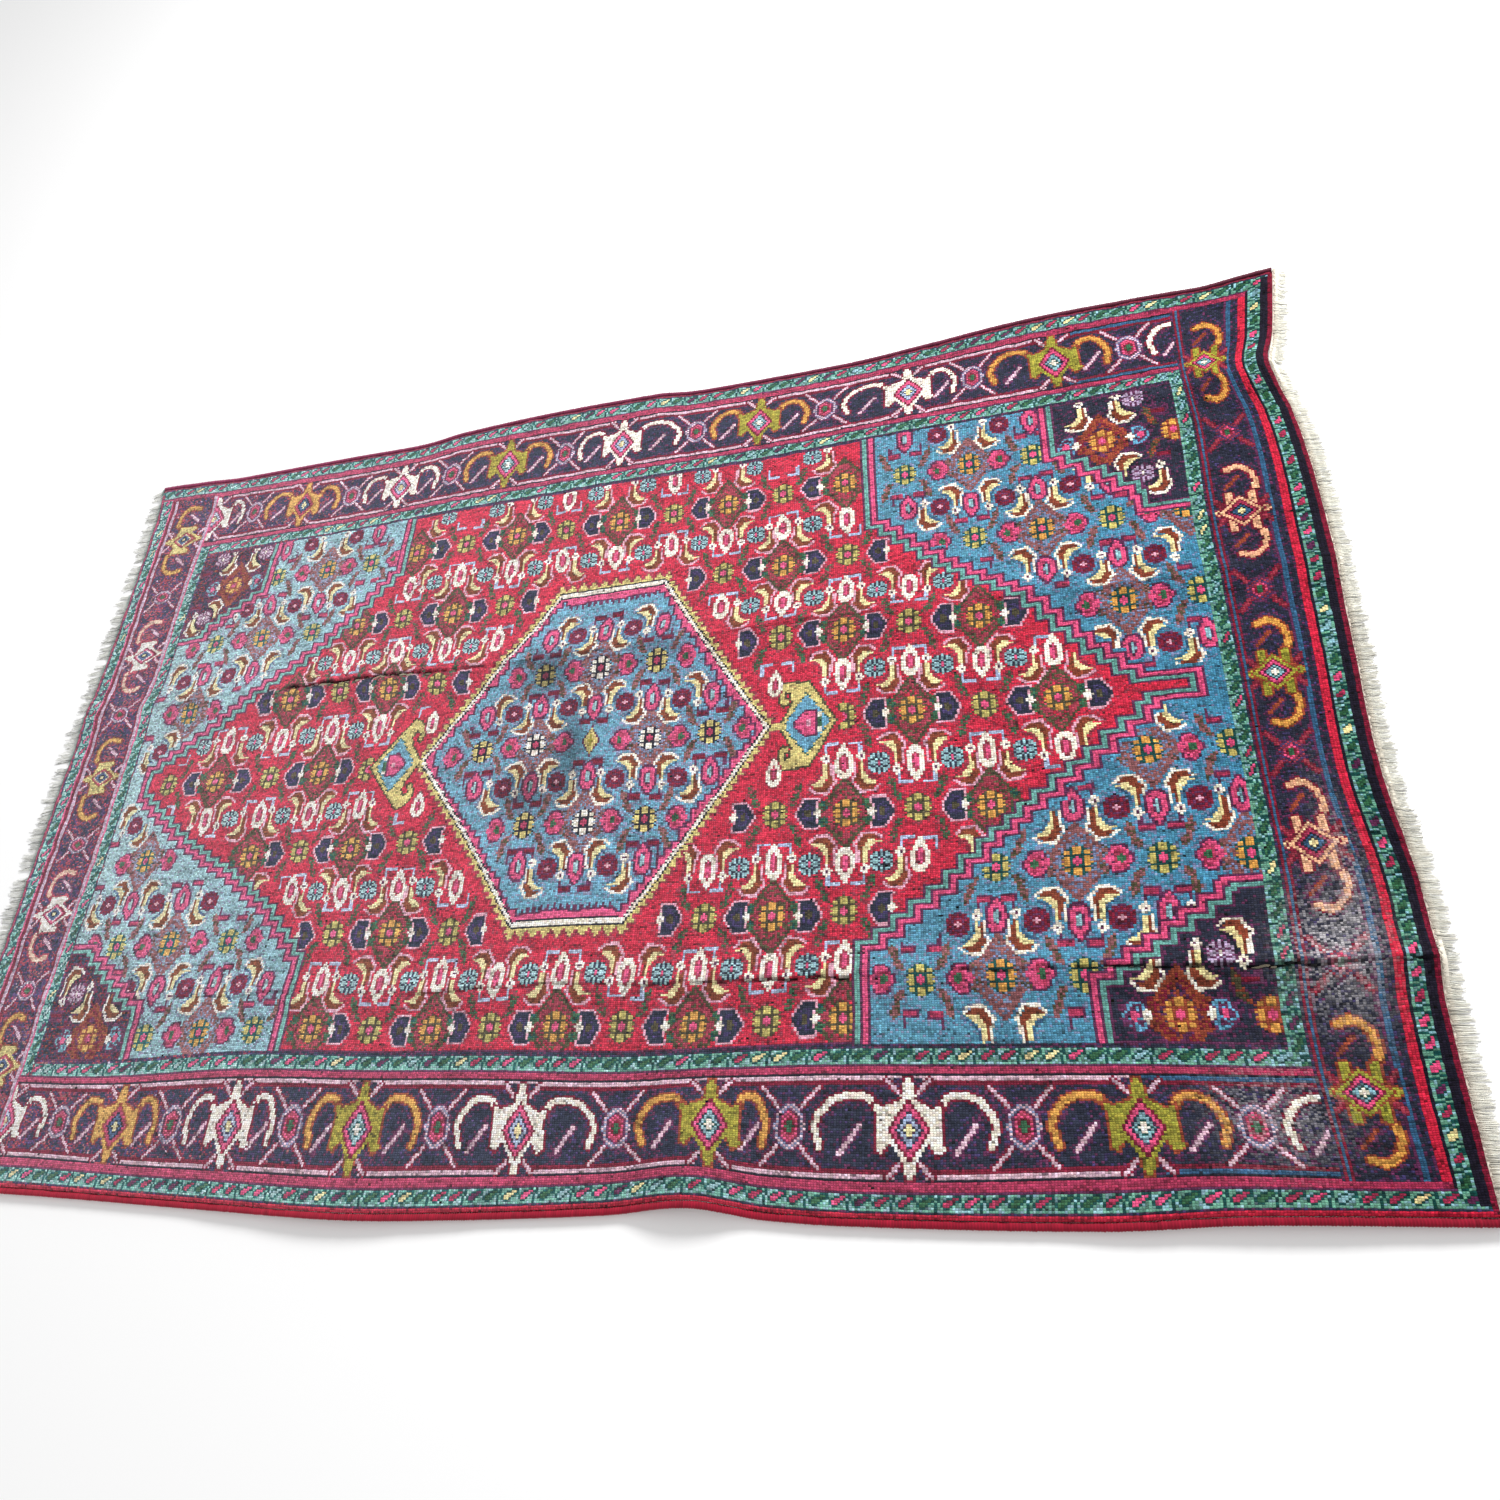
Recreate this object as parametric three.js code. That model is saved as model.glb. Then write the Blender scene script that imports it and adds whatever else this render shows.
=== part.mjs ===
// A hand-knotted wool rug lying on a floor, a little creased and wavy as it was unfolded.
// X runs along the length, Y from the near side to the far side, Z up. All sizes are in millimetres.
// Pieces: the knotted pile with its foundation, two overcast side edges, two end fringes.
import * as THREE from "three";

// The cloth, as it comes off the loom
const PILE_LENGTH = 2114;
const PILE_WIDTH = 1345;
const PILE_THICKNESS = 10;

// The overcast side edges, wool wound round the outer warps
const EDGE_GAP = 0.3;
const SELVEDGE_WIDTH = 9.2;
const SELVEDGE_HEIGHT = 8.5;

// The flat-woven strip at each end, which holds the roots of the fringe
const STRIP_THICKNESS = 3;
const STRIP_HALF_WIDTH = PILE_WIDTH / 2 + EDGE_GAP + SELVEDGE_WIDTH;

// Spacing of the sections that follow the folds
const SECTION_SPACING = 50;
const ROW_SPACING = 58;
const CREASE_ROWS = [-60, -25, 0, 25, 60];
const CREASE_CLEARANCE = 22;

// How far the unevenness of an outline edge reaches into the cloth
const EDGE_REACH = 200;

// Outline edges: at is the place along the edge, out is how far the edge stands outside its straight line
const FAR_EDGE = [
  { at: -1060, out: 8 },
  { at: -900, out: 2 },
  { at: -600, out: -3 },
  { at: -430, out: -7 },
  { at: -340, out: 0 },
  { at: 50, out: 1 },
  { at: 115, out: -6 },
  { at: 300, out: -11 },
  { at: 450, out: -11 },
  { at: 700, out: 0 },
  { at: 1060, out: 3 },
];
const NEAR_EDGE = [
  { at: -1060, out: 0 },
  { at: -850, out: 1 },
  { at: -500, out: 12 },
  { at: -280, out: 18 },
  { at: -120, out: 13 },
  { at: 90, out: 1 },
  { at: 205, out: -10 },
  { at: 300, out: 0 },
  { at: 420, out: 3 },
  { at: 680, out: -1 },
  { at: 820, out: -11 },
  { at: 1060, out: -17 },
];
const RIGHT_EDGE = [
  { at: -683, out: -8 },
  { at: -452, out: -8 },
  { at: -313, out: -3 },
  { at: -177, out: -14 },
  { at: 0, out: -8 },
  { at: 240, out: -1 },
  { at: 410, out: -9 },
  { at: 492, out: -26 },
  { at: 562, out: -8 },
  { at: 683, out: 11 },
];
const LEFT_EDGE = [
  { at: -683, out: -12 },
  { at: -313, out: -6 },
  { at: -31, out: 0 },
  { at: 405, out: 4 },
  { at: 683, out: 14 },
];

// Folds that lift the cloth off the floor. Each runs from (x0, y0) to (x1, y1), reaches as far as width on
// both sides, and is start, middle and end high. A sharp one comes to a crest, a soft one is round.
const FOLDS = [
  { x0: -1150, y0: 137, x1: 1150, y1: 139, width: 60, start: 6, middle: 8, end: 5, sharp: true },
  { x0: -1150, y0: -403, x1: 1150, y1: -397, width: 50, start: 3, middle: 5, end: 13, sharp: true },
  { x0: 205, y0: -760, x1: 200, y1: -520, width: 90, start: 15, middle: 11, end: 2, sharp: false },
  { x0: 1150, y0: 492, x1: 830, y1: 478, width: 62, start: 15, middle: 11, end: 2, sharp: false },
  { x0: 1040, y0: 740, x1: 1120, y1: 640, width: 120, start: 8, middle: 11, end: 7, sharp: false },
  { x0: -1060, y0: 720, x1: -980, y1: 700, width: 110, start: 9, middle: 8, end: 6, sharp: false },
  { x0: -330, y0: 720, x1: 0, y1: 720, width: 150, start: 5, middle: 8, end: 5, sharp: false },
  { x0: 560, y0: 720, x1: 840, y1: 720, width: 170, start: 5, middle: 9, end: 6, sharp: false },
  { x0: -420, y0: -740, x1: -180, y1: -740, width: 150, start: 4, middle: 8, end: 4, sharp: false },
  { x0: 760, y0: -740, x1: 960, y1: -740, width: 160, start: 5, middle: 9, end: 6, sharp: false },
  { x0: 1120, y0: -180, x1: 1000, y1: -180, width: 110, start: 8, middle: 6, end: 2, sharp: false },
];

// End fringes: side is the end of the rug in X, and gapShare the share of locks that have worn away
const FRINGES = [
  {
    name: "fringe_left",
    side: -1,
    locks: 116,
    stripWidth: 9,
    rootWidth: 4.6,
    middleWidth: 3.4,
    tipWidth: 1.8,
    length: 31,
    lengthSpread: 8,
    lean: 3.2,
    gapShare: 0.1,
  },
  {
    name: "fringe_right",
    side: 1,
    locks: 126,
    stripWidth: 8,
    rootWidth: 6.4,
    middleWidth: 6,
    tipWidth: 3.4,
    length: 18,
    lengthSpread: 4,
    lean: 1.3,
    gapShare: 0,
  },
];
const LOCK_MIDDLE_THICKNESS = 2.4;
const LOCK_TIP_THICKNESS = 0.5;
const LOCK_MIDDLE_AT = 0.5;
// The share of the strip's height that a lock's middle keeps on its way down to the floor
const LOCK_DROP = 0.3;

// The smooth curve through the rows of an edge table
function edgeOut(rows, at) {
  const last = rows.length - 1;
  if (at <= rows[0].at) return rows[0].out;
  if (at >= rows[last].at) return rows[last].out;
  const i = rows.findIndex((row) => row.at > at) - 1;
  const [a, b] = [rows[i], rows[i + 1]];
  const before = rows[Math.max(i - 1, 0)];
  const after = rows[Math.min(i + 2, last)];
  const span = b.at - a.at;
  const slopeA = (b.out - before.out) / (b.at - before.at);
  const slopeB = (after.out - a.out) / (after.at - a.at);
  const s = (at - a.at) / span;
  return (
    (1 + 2 * s) * (1 - s) ** 2 * a.out +
    s * (1 - s) ** 2 * span * slopeA +
    s * s * (3 - 2 * s) * b.out +
    s * s * (s - 1) * span * slopeB
  );
}

// 1 at the edge, 0 from EDGE_REACH inwards
function edgeShare(inside) {
  const s = Math.min(Math.max(inside / EDGE_REACH, 0), 1);
  return (1 - s) ** 2 * (1 + 2 * s);
}

// Where the point (u, v) of the flat cloth lies on the floor
function onFloor(u, v) {
  const halfLength = PILE_LENGTH / 2;
  const halfWidth = PILE_WIDTH / 2;
  const x =
    u +
    edgeOut(RIGHT_EDGE, v) * edgeShare(halfLength - u) -
    edgeOut(LEFT_EDGE, v) * edgeShare(halfLength + u);
  const y =
    v +
    edgeOut(FAR_EDGE, u) * edgeShare(halfWidth - v) -
    edgeOut(NEAR_EDGE, u) * edgeShare(halfWidth + v);
  return { x, y };
}

// How high one fold lifts the cloth at (x, y)
function foldLift(fold, x, y) {
  const [dx, dy] = [fold.x1 - fold.x0, fold.y1 - fold.y0];
  const along = ((x - fold.x0) * dx + (y - fold.y0) * dy) / (dx * dx + dy * dy);
  const t = Math.min(Math.max(along, 0), 1);
  const away = Math.hypot(x - fold.x0 - t * dx, y - fold.y0 - t * dy) / fold.width;
  if (away >= 1) return 0;
  const crest =
    fold.start * (1 - t) * (1 - 2 * t) + fold.middle * 4 * t * (1 - t) + fold.end * t * (2 * t - 1);
  const profile = fold.sharp ? (1 - away) ** 1.5 : (1 - away * away) ** 2;
  return crest * profile;
}

// How high the underside of the cloth lies above the floor at (x, y)
function lift(x, y) {
  return FOLDS.reduce((highest, fold) => Math.max(highest, foldLift(fold, x, y)), 0);
}

// The point of the laid cloth at (u, v), height above its underside
function laid(u, v, height) {
  const { x, y } = onFloor(u, v);
  return [x, y, lift(x, y) + height];
}

// A closed surface, put together from points and outward faces
class Shell {
  points = [];
  faces = [];

  point(place) {
    this.points.push(...place);
    return this.points.length / 3 - 1;
  }

  triangle(a, b, c) {
    this.faces.push(a, b, c);
  }

  quad(a, b, c, d) {
    this.faces.push(a, b, c, a, c, d);
  }

  // Joins two closed sections that have the same number of points
  join(section, next) {
    section.forEach((a, i) => {
      const k = (i + 1) % section.length;
      this.quad(a, section[k], next[k], next[i]);
    });
  }

  // A mirrored shell turns its faces round
  geometry(mirrored = false) {
    const faces = [...this.faces];
    if (mirrored)
      for (let i = 0; i < faces.length; i += 3)
        [faces[i + 1], faces[i + 2]] = [faces[i + 2], faces[i + 1]];
    const made = new THREE.BufferGeometry();
    made.setAttribute("position", new THREE.Float32BufferAttribute(this.points, 3));
    made.setIndex(faces);
    made.computeVertexNormals();
    return made;
  }
}

// Evenly spaced stations from low to high
function evenly(low, high, spacing) {
  const steps = Math.round((high - low) / spacing);
  return Array.from({ length: steps + 1 }, (_, i) => low + ((high - low) * i) / steps);
}

// Rows across the width: evenly spaced, and closer on both sides of each lengthwise crease
function rowsAcross() {
  const creases = FOLDS.filter((fold) => fold.sharp).map((fold) => (fold.y0 + fold.y1) / 2);
  const close = creases.flatMap((middle) => CREASE_ROWS.map((away) => middle + away));
  const even = evenly(-PILE_WIDTH / 2, PILE_WIDTH / 2, ROW_SPACING);
  const clear = even.filter((row) => close.every((other) => Math.abs(row - other) > CREASE_CLEARANCE));
  return [...clear, ...close].sort((a, b) => a - b);
}

const sectionsAlong = evenly(-PILE_LENGTH / 2, PILE_LENGTH / 2, SECTION_SPACING);

// The knotted cloth: one slab of even thickness that follows the folds
function pileGeometry() {
  const shell = new Shell();
  const rows = rowsAcross();
  const sections = sectionsAlong.map((u) => ({
    bottom: rows.map((v) => shell.point(laid(u, v, 0))),
    top: rows.map((v) => shell.point(laid(u, v, PILE_THICKNESS))),
  }));
  const ring = ({ bottom, top }) => [...bottom, ...[...top].reverse()];
  sections.slice(1).forEach((next, i) => shell.join(ring(sections[i]), ring(next)));
  const first = sections[0];
  const last = sections[sections.length - 1];
  for (let j = 0; j + 1 < rows.length; j++) {
    shell.quad(first.bottom[j + 1], first.bottom[j], first.top[j], first.top[j + 1]);
    shell.quad(last.bottom[j], last.bottom[j + 1], last.top[j + 1], last.top[j]);
  }
  return shell.geometry();
}

// The section of an overcast edge: across from the pile outwards, and height, with the corners worn round
function selvedgeSection() {
  const [w, h] = [SELVEDGE_WIDTH, SELVEDGE_HEIGHT];
  const [round, inner] = [0.3, 0.12];
  return [
    { across: inner * w, height: 0 },
    { across: (1 - round) * w, height: 0 },
    { across: w, height: round * h },
    { across: w, height: (1 - round) * h },
    { across: (1 - round) * w, height: h },
    { across: inner * w, height: h },
    { across: 0, height: (1 - inner) * h },
    { across: 0, height: inner * h },
  ];
}

// An overcast edge along the far side (side 1) or the near side (side -1)
function selvedgeGeometry(side) {
  const shell = new Shell();
  const start = PILE_WIDTH / 2 + EDGE_GAP;
  const sections = sectionsAlong.map((u) =>
    selvedgeSection().map(({ across, height }) => shell.point(laid(u, side * (start + across), height))),
  );
  sections.slice(1).forEach((next, i) => shell.join(sections[i], next));
  const first = sections[0];
  const last = sections[sections.length - 1];
  for (let k = 1; k + 1 < first.length; k++) {
    shell.triangle(first[0], first[k + 1], first[k]);
    shell.triangle(last[0], last[k], last[k + 1]);
  }
  return shell.geometry(side < 0);
}

// An even spread from -1 to 1 that looks irregular and is the same each time
const UNEVEN = { indexStep: 12.9898, rowStep: 78.233, scale: 43758.5453 };
const [LENGTH_ROW, LEAN_ROW, WEAR_ROW] = [1, 2, 3];
function uneven(index, row) {
  const wave = Math.sin(index * UNEVEN.indexStep + row * UNEVEN.rowStep) * UNEVEN.scale;
  return 2 * (wave - Math.floor(wave)) - 1;
}

// The end of the slab is straight from row to row, and so is what lies against it
const endRows = [-STRIP_HALF_WIDTH, ...rowsAcross(), STRIP_HALF_WIDTH];

// A point past the end of the pile on the fringe's side, height above the cloth's underside
function pastEnd(fringe, past, v, height) {
  const u = fringe.side * (PILE_LENGTH / 2 + EDGE_GAP + past);
  const after = Math.max(endRows.findIndex((row) => row >= v), 1);
  const [low, high] = [endRows[after - 1], endRows[after]];
  const share = (v - low) / (high - low);
  const from = laid(u, low, height);
  const to = laid(u, high, height);
  return from.map((value, axis) => value + (to[axis] - value) * share);
}

// One lock grows out of the face root = [top, bottom, bottom, top] of the strip and comes down to the floor
function addLock(shell, fringe, root, v, index) {
  const reach = fringe.length + fringe.lengthSpread * uneven(index, LENGTH_ROW);
  const lean = fringe.lean * uneven(index, LEAN_ROW);
  const middlePast = fringe.stripWidth + reach * LOCK_MIDDLE_AT;
  const place = (past, across, bottom, thickness) => {
    const [x, y, z] = pastEnd(fringe, past, v + across, 0);
    return shell.point([x, y, z * bottom + thickness]);
  };
  const half = fringe.middleWidth / 2;
  const middleLean = lean * LOCK_MIDDLE_AT;
  const middle = [
    place(middlePast, middleLean - half, LOCK_DROP, LOCK_MIDDLE_THICKNESS),
    place(middlePast, middleLean - half, LOCK_DROP, 0),
    place(middlePast, middleLean + half, LOCK_DROP, 0),
    place(middlePast, middleLean + half, LOCK_DROP, LOCK_MIDDLE_THICKNESS),
  ];
  shell.join(root, middle);
  const tipPast = fringe.stripWidth + reach;
  const tipHalf = fringe.tipWidth / 2;
  const tip = [
    place(tipPast, lean - tipHalf, 0, LOCK_TIP_THICKNESS),
    place(tipPast, lean - tipHalf, 0, 0),
    place(tipPast, lean + tipHalf, 0, 0),
    place(tipPast, lean + tipHalf, 0, LOCK_TIP_THICKNESS),
  ];
  shell.join(middle, tip);
  shell.quad(...tip);
}

// A flat-woven strip along one end, with its locks
function fringeGeometry(fringe) {
  const shell = new Shell();
  const pitch = (2 * STRIP_HALF_WIDTH) / fringe.locks;
  const section = (v) => [
    shell.point(pastEnd(fringe, fringe.stripWidth, v, 0)),
    shell.point(pastEnd(fringe, 0, v, 0)),
    shell.point(pastEnd(fringe, 0, v, STRIP_THICKNESS)),
    shell.point(pastEnd(fringe, fringe.stripWidth, v, STRIP_THICKNESS)),
  ];
  const joinStrip = (a, b) => {
    for (let k = 0; k < 3; k++) shell.quad(a[k], a[k + 1], b[k + 1], b[k]);
  };
  const outerFace = (a, b) => [a[3], a[0], b[0], b[3]];
  const first = section(-STRIP_HALF_WIDTH);
  let before = first;
  for (let i = 0; i < fringe.locks; i++) {
    const v = -STRIP_HALF_WIDTH + (i + 0.5) * pitch;
    const worn = (uneven(i, WEAR_ROW) + 1) / 2 < fringe.gapShare;
    if (worn) continue;
    const start = section(v - fringe.rootWidth / 2);
    const end = section(v + fringe.rootWidth / 2);
    joinStrip(before, start);
    shell.quad(...outerFace(before, start));
    joinStrip(start, end);
    addLock(shell, fringe, outerFace(start, end), v, i);
    before = end;
  }
  const last = section(STRIP_HALF_WIDTH);
  joinStrip(before, last);
  shell.quad(...outerFace(before, last));
  shell.quad(first[3], first[2], first[1], first[0]);
  shell.quad(...last);
  return shell.geometry(fringe.side < 0);
}

const woolPile = new THREE.MeshStandardMaterial({ color: 0xa8203a, roughness: 0.95, metalness: 0 });
const redWool = new THREE.MeshStandardMaterial({ color: 0x8f1028, roughness: 0.9, metalness: 0 });
const cottonWarp = new THREE.MeshStandardMaterial({ color: 0xe6e0cc, roughness: 0.95, metalness: 0 });

const rug = new THREE.Group();

function addPiece(name, geometry, material) {
  const piece = new THREE.Mesh(geometry, material);
  piece.name = name;
  rug.add(piece);
}

addPiece("rug_pile", pileGeometry(), woolPile);
addPiece("selvedge_far", selvedgeGeometry(1), redWool);
addPiece("selvedge_near", selvedgeGeometry(-1), redWool);
FRINGES.forEach((fringe) => addPiece(fringe.name, fringeGeometry(fringe), cottonWarp));

// The origin is under the middle of the whole rug
const middle = new THREE.Box3().setFromObject(rug).getCenter(new THREE.Vector3());
rug.position.set(-middle.x, -middle.y, 0);

export default rug;
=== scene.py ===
import copy
import math
from types import SimpleNamespace

import bpy
import numpy as np
from mathutils import Matrix, Vector


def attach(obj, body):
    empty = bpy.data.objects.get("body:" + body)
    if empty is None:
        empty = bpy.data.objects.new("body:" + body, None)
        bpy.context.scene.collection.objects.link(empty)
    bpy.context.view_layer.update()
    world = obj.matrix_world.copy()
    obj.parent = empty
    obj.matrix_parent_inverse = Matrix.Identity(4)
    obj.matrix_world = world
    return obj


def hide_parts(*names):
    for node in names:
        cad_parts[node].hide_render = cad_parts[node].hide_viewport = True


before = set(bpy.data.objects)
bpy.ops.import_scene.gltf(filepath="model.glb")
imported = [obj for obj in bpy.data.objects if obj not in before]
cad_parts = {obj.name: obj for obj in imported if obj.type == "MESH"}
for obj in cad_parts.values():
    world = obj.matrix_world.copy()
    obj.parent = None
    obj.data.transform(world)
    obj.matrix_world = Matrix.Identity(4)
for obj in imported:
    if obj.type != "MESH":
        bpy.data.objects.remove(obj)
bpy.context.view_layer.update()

# A hand-knotted wool rug lying on a floor. Lengths are in millimetres up to the last step, MM turns them
# into metres. X runs along the length, Y from the near side to the far side, Z up, as in the solids.
MM = 0.001

# The cloth, as it comes off the loom, and where its middle stands in the frame
PILE_LENGTH = 2114
PILE_WIDTH = 1345
HALF_LENGTH = PILE_LENGTH / 2
HALF_WIDTH = PILE_WIDTH / 2
PILE_THICKNESS = 10
RUG_MIDDLE = (12.01, 4.92)

EDGE_GAP = 0.3
SELVEDGE_WIDTH = 9.2
SELVEDGE_HEIGHT = 8.5
EDGE_REACH = 200

# Outline edges: (place along the edge, how far the edge stands outside its straight line)
FAR_EDGE = ((-1060, 8), (-900, 2), (-600, -3), (-430, -7), (-340, 0), (50, 1), (115, -6), (300, -11),
            (450, -11), (700, 0), (1060, 3))
NEAR_EDGE = ((-1060, 0), (-850, 1), (-500, 12), (-280, 18), (-120, 13), (90, 1), (205, -10), (300, 0),
             (420, 3), (680, -1), (820, -11), (1060, -17))
RIGHT_EDGE = ((-683, -8), (-452, -8), (-313, -3), (-177, -14), (0, -8), (240, -1), (410, -9), (492, -26),
              (562, -8), (683, 11))
LEFT_EDGE = ((-683, -12), (-313, -6), (-31, 0), (405, 4), (683, 14))

# Folds: x0, y0, x1, y1, reach on both sides, height at the start, middle and end, and if the crest is sharp
FOLDS = (
    (-1150, 137, 1150, 139, 60, 6, 8, 5, True),
    (-1150, -403, 1150, -397, 50, 3, 5, 13, True),
    (205, -760, 200, -520, 90, 15, 11, 2, False),
    (1150, 492, 830, 478, 62, 15, 11, 2, False),
    (1040, 740, 1120, 640, 120, 8, 11, 7, False),
    (-1060, 720, -980, 700, 110, 9, 8, 6, False),
    (-330, 720, 0, 720, 150, 5, 8, 5, False),
    (560, 720, 840, 720, 170, 5, 9, 6, False),
    (-420, -740, -180, -740, 150, 4, 8, 4, False),
    (760, -740, 960, -740, 160, 5, 9, 6, False),
    (1120, -180, 1000, -180, 110, 8, 6, 2, False),
)


def edge_out(table, at):
    """how far an edge stands outside its straight line: the smooth curve through the rows of its table"""
    places, outs = np.array(table, float).T
    at = np.clip(at, places[0], places[-1])
    a = np.clip(np.searchsorted(places, at, side="right") - 1, 0, len(table) - 2)
    b = a + 1
    before, after = np.maximum(a - 1, 0), np.minimum(b + 1, len(table) - 1)
    span = places[b] - places[a]
    slope_a = (outs[b] - outs[before]) / (places[b] - places[before])
    slope_b = (outs[after] - outs[a]) / (places[after] - places[a])
    s = (at - places[a]) / span
    start = (1 + 2 * s) * (1 - s) ** 2 * outs[a] + s * (1 - s) ** 2 * span * slope_a
    return start + s * s * (3 - 2 * s) * outs[b] + s * s * (s - 1) * span * slope_b


def edge_share(inside):
    """1 at the edge, 0 from EDGE_REACH inwards"""
    s = np.clip(inside / EDGE_REACH, 0, 1)
    return (1 - s) ** 2 * (1 + 2 * s)


def on_floor(u, v):
    """where the point (u, v) of the flat cloth lies on the floor"""
    x = u + edge_out(RIGHT_EDGE, v) * edge_share(HALF_LENGTH - u)
    x = x - edge_out(LEFT_EDGE, v) * edge_share(HALF_LENGTH + u)
    y = v + edge_out(FAR_EDGE, u) * edge_share(HALF_WIDTH - v)
    return x, y - edge_out(NEAR_EDGE, u) * edge_share(HALF_WIDTH + v)


def lift(x, y):
    """how high the underside of the cloth lies above the floor"""
    highest = np.zeros(np.broadcast(x, y).shape)
    for x0, y0, x1, y1, width, start, middle, end, sharp in FOLDS:
        dx, dy = x1 - x0, y1 - y0
        t = np.clip(((x - x0) * dx + (y - y0) * dy) / (dx * dx + dy * dy), 0, 1)
        away = np.minimum(np.hypot(x - x0 - t * dx, y - y0 - t * dy) / width, 1)
        crest = start * (1 - t) * (1 - 2 * t) + middle * 4 * t * (1 - t) + end * t * (2 * t - 1)
        profile = (1 - away) ** 1.5 if sharp else (1 - away * away) ** 2
        highest = np.maximum(highest, crest * profile)
    return highest


def laid(u, v, height):
    """the points of the laid cloth at (u, v), height above its underside"""
    x, y = on_floor(u, v)
    return np.stack(np.broadcast_arrays(x, y, lift(x, y) + height), axis=-1)


# The knot chart. The pile is COLUMNS by ROWS knots. Charts are drawn in knots from the middle of the pile,
# x to the right-hand end and y to the far side.
COLUMNS = 634
ROWS = 518
KNOT_X = PILE_LENGTH / COLUMNS
KNOT_Y = PILE_WIDTH / ROWS
FIELD_X = 268
FIELD_Y = 187

# Dyes in sRGB, as they look at the pale left-hand end and at the deep right-hand end; the change along the
# length is partly abrash in the wool and partly painted sheen
DYES = {
    "red": ((216, 66, 92), (192, 32, 58)),
    "dusk": ((178, 78, 96), (142, 46, 62)),
    "wine": ((138, 38, 66), (112, 18, 42)),
    "plum": ((118, 62, 96), (84, 36, 70)),
    "navy": ((64, 68, 94), (34, 36, 52)),
    "violet": ((96, 72, 122), (52, 46, 84)),
    "ink": ((46, 40, 58), (24, 20, 34)),
    "ivory": ((252, 242, 234), (246, 232, 212)),
    "smoke": ((226, 190, 206), (206, 170, 184)),
    "frost": ((196, 200, 222), (152, 172, 204)),
    "peach": ((240, 200, 182), (226, 166, 128)),
    "umber": ((160, 108, 112), (128, 78, 80)),
    "cream": ((240, 224, 180), (230, 212, 150)),
    "blush": ((236, 184, 200), (212, 150, 170)),
    "pink": ((228, 108, 150), (214, 72, 116)),
    "rose": ((198, 84, 118), (158, 44, 76)),
    "sky": ((188, 216, 220), (52, 120, 154)),
    "azure": ((138, 184, 200), (86, 146, 180)),
    "mist": ((190, 214, 216), (122, 166, 176)),
    "haze": ((160, 158, 182), (104, 118, 152)),
    "aqua": ((142, 196, 190), (90, 146, 138)),
    "guard": ((142, 196, 190), (94, 146, 124)),
    "teal": ((44, 104, 108), (14, 64, 60)),
    "lilac": ((206, 180, 200), (168, 146, 176)),
    "steel": ((96, 112, 150), (44, 84, 116)),
    "khaki": ((222, 204, 140), (200, 182, 110)),
    "lime": ((206, 194, 130), (178, 164, 88)),
    "gold": ((224, 176, 106), (204, 144, 66)),
    "olive": ((184, 166, 78), (146, 142, 48)),
    "moss": ((98, 84, 66), (70, 66, 44)),
    "leaf": ((84, 116, 92), (44, 90, 60)),
    "rust": ((158, 84, 66), (138, 60, 38)),
    "brown": ((140, 82, 58), (124, 54, 34)),
}
INDEX = {name: i for i, name in enumerate(DYES)}

chart = np.full((ROWS, COLUMNS), INDEX["red"], np.uint8)
allowed = np.ones((ROWS, COLUMNS), bool)
KNOTS_X = np.arange(COLUMNS) - COLUMNS / 2 + 0.5
KNOTS_Y = np.arange(ROWS) - ROWS / 2 + 0.5
GRID_X = KNOTS_X[None, :]
GRID_Y = KNOTS_Y[:, None]
ASPECT = KNOT_Y / KNOT_X
rng = np.random.default_rng(11)


def window(xs, ys, reach=0):
    """the part of the chart round some places, and where its knots are"""
    x0, x1 = math.floor(min(xs) - reach + COLUMNS / 2), math.ceil(max(xs) + reach + COLUMNS / 2)
    y0, y1 = math.floor(min(ys) - reach + ROWS / 2), math.ceil(max(ys) + reach + ROWS / 2)
    part = slice(max(0, y0), max(0, y1)), slice(max(0, x0), max(0, x1))
    return part, KNOTS_X[None, part[1]], KNOTS_Y[part[0], None]


def knot(part, inside, dye):
    """ties the knots inside a shape in one dye"""
    chart[part][inside & allowed[part]] = INDEX[dye]


def tie(mask, dye):
    """ties all the knots of a mask of the whole chart in one dye"""
    chart[mask] = INDEX[dye]


def every_second(x, y):
    return (np.floor(x) + np.floor(y)) % 2 == 0


def inside_polygon(points, x, y):
    inside = np.zeros(np.broadcast(x, y).shape, bool)
    for (ax, ay), (bx, by) in zip(points, [*points[1:], points[0]]):
        if ay != by:
            inside ^= ((ay > y) != (by > y)) & (x < (bx - ax) * (y - ay) / (by - ay) + ax)
    return inside


def polygon(points, dye):
    part, x, y = window(*zip(*points))
    knot(part, inside_polygon(points, x, y), dye)


def line(points, width, dye):
    """a line through the points, width in knots of x"""
    part, x, y = window(*zip(*points), width / 2 / ASPECT)
    near = np.zeros(np.broadcast(x, y).shape, bool)
    for (ax, ay), (bx, by) in zip(points, points[1:]):
        dx, dy = bx - ax, (by - ay) * ASPECT
        t = np.clip(((x - ax) * dx + (y - ay) * ASPECT * dy) / max(dx * dx + dy * dy, 1e-6), 0, 1)
        near |= np.hypot(x - ax - t * dx, (y - ay) * ASPECT - t * dy) <= width / 2
    knot(part, near, dye)


def block(x0, x1, y0, y1, dye):
    part, x, y = window((x0, x1), (y0, y1))
    knot(part, (x > x0) & (x < x1) & (y > y0) & (y < y1), dye)


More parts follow.
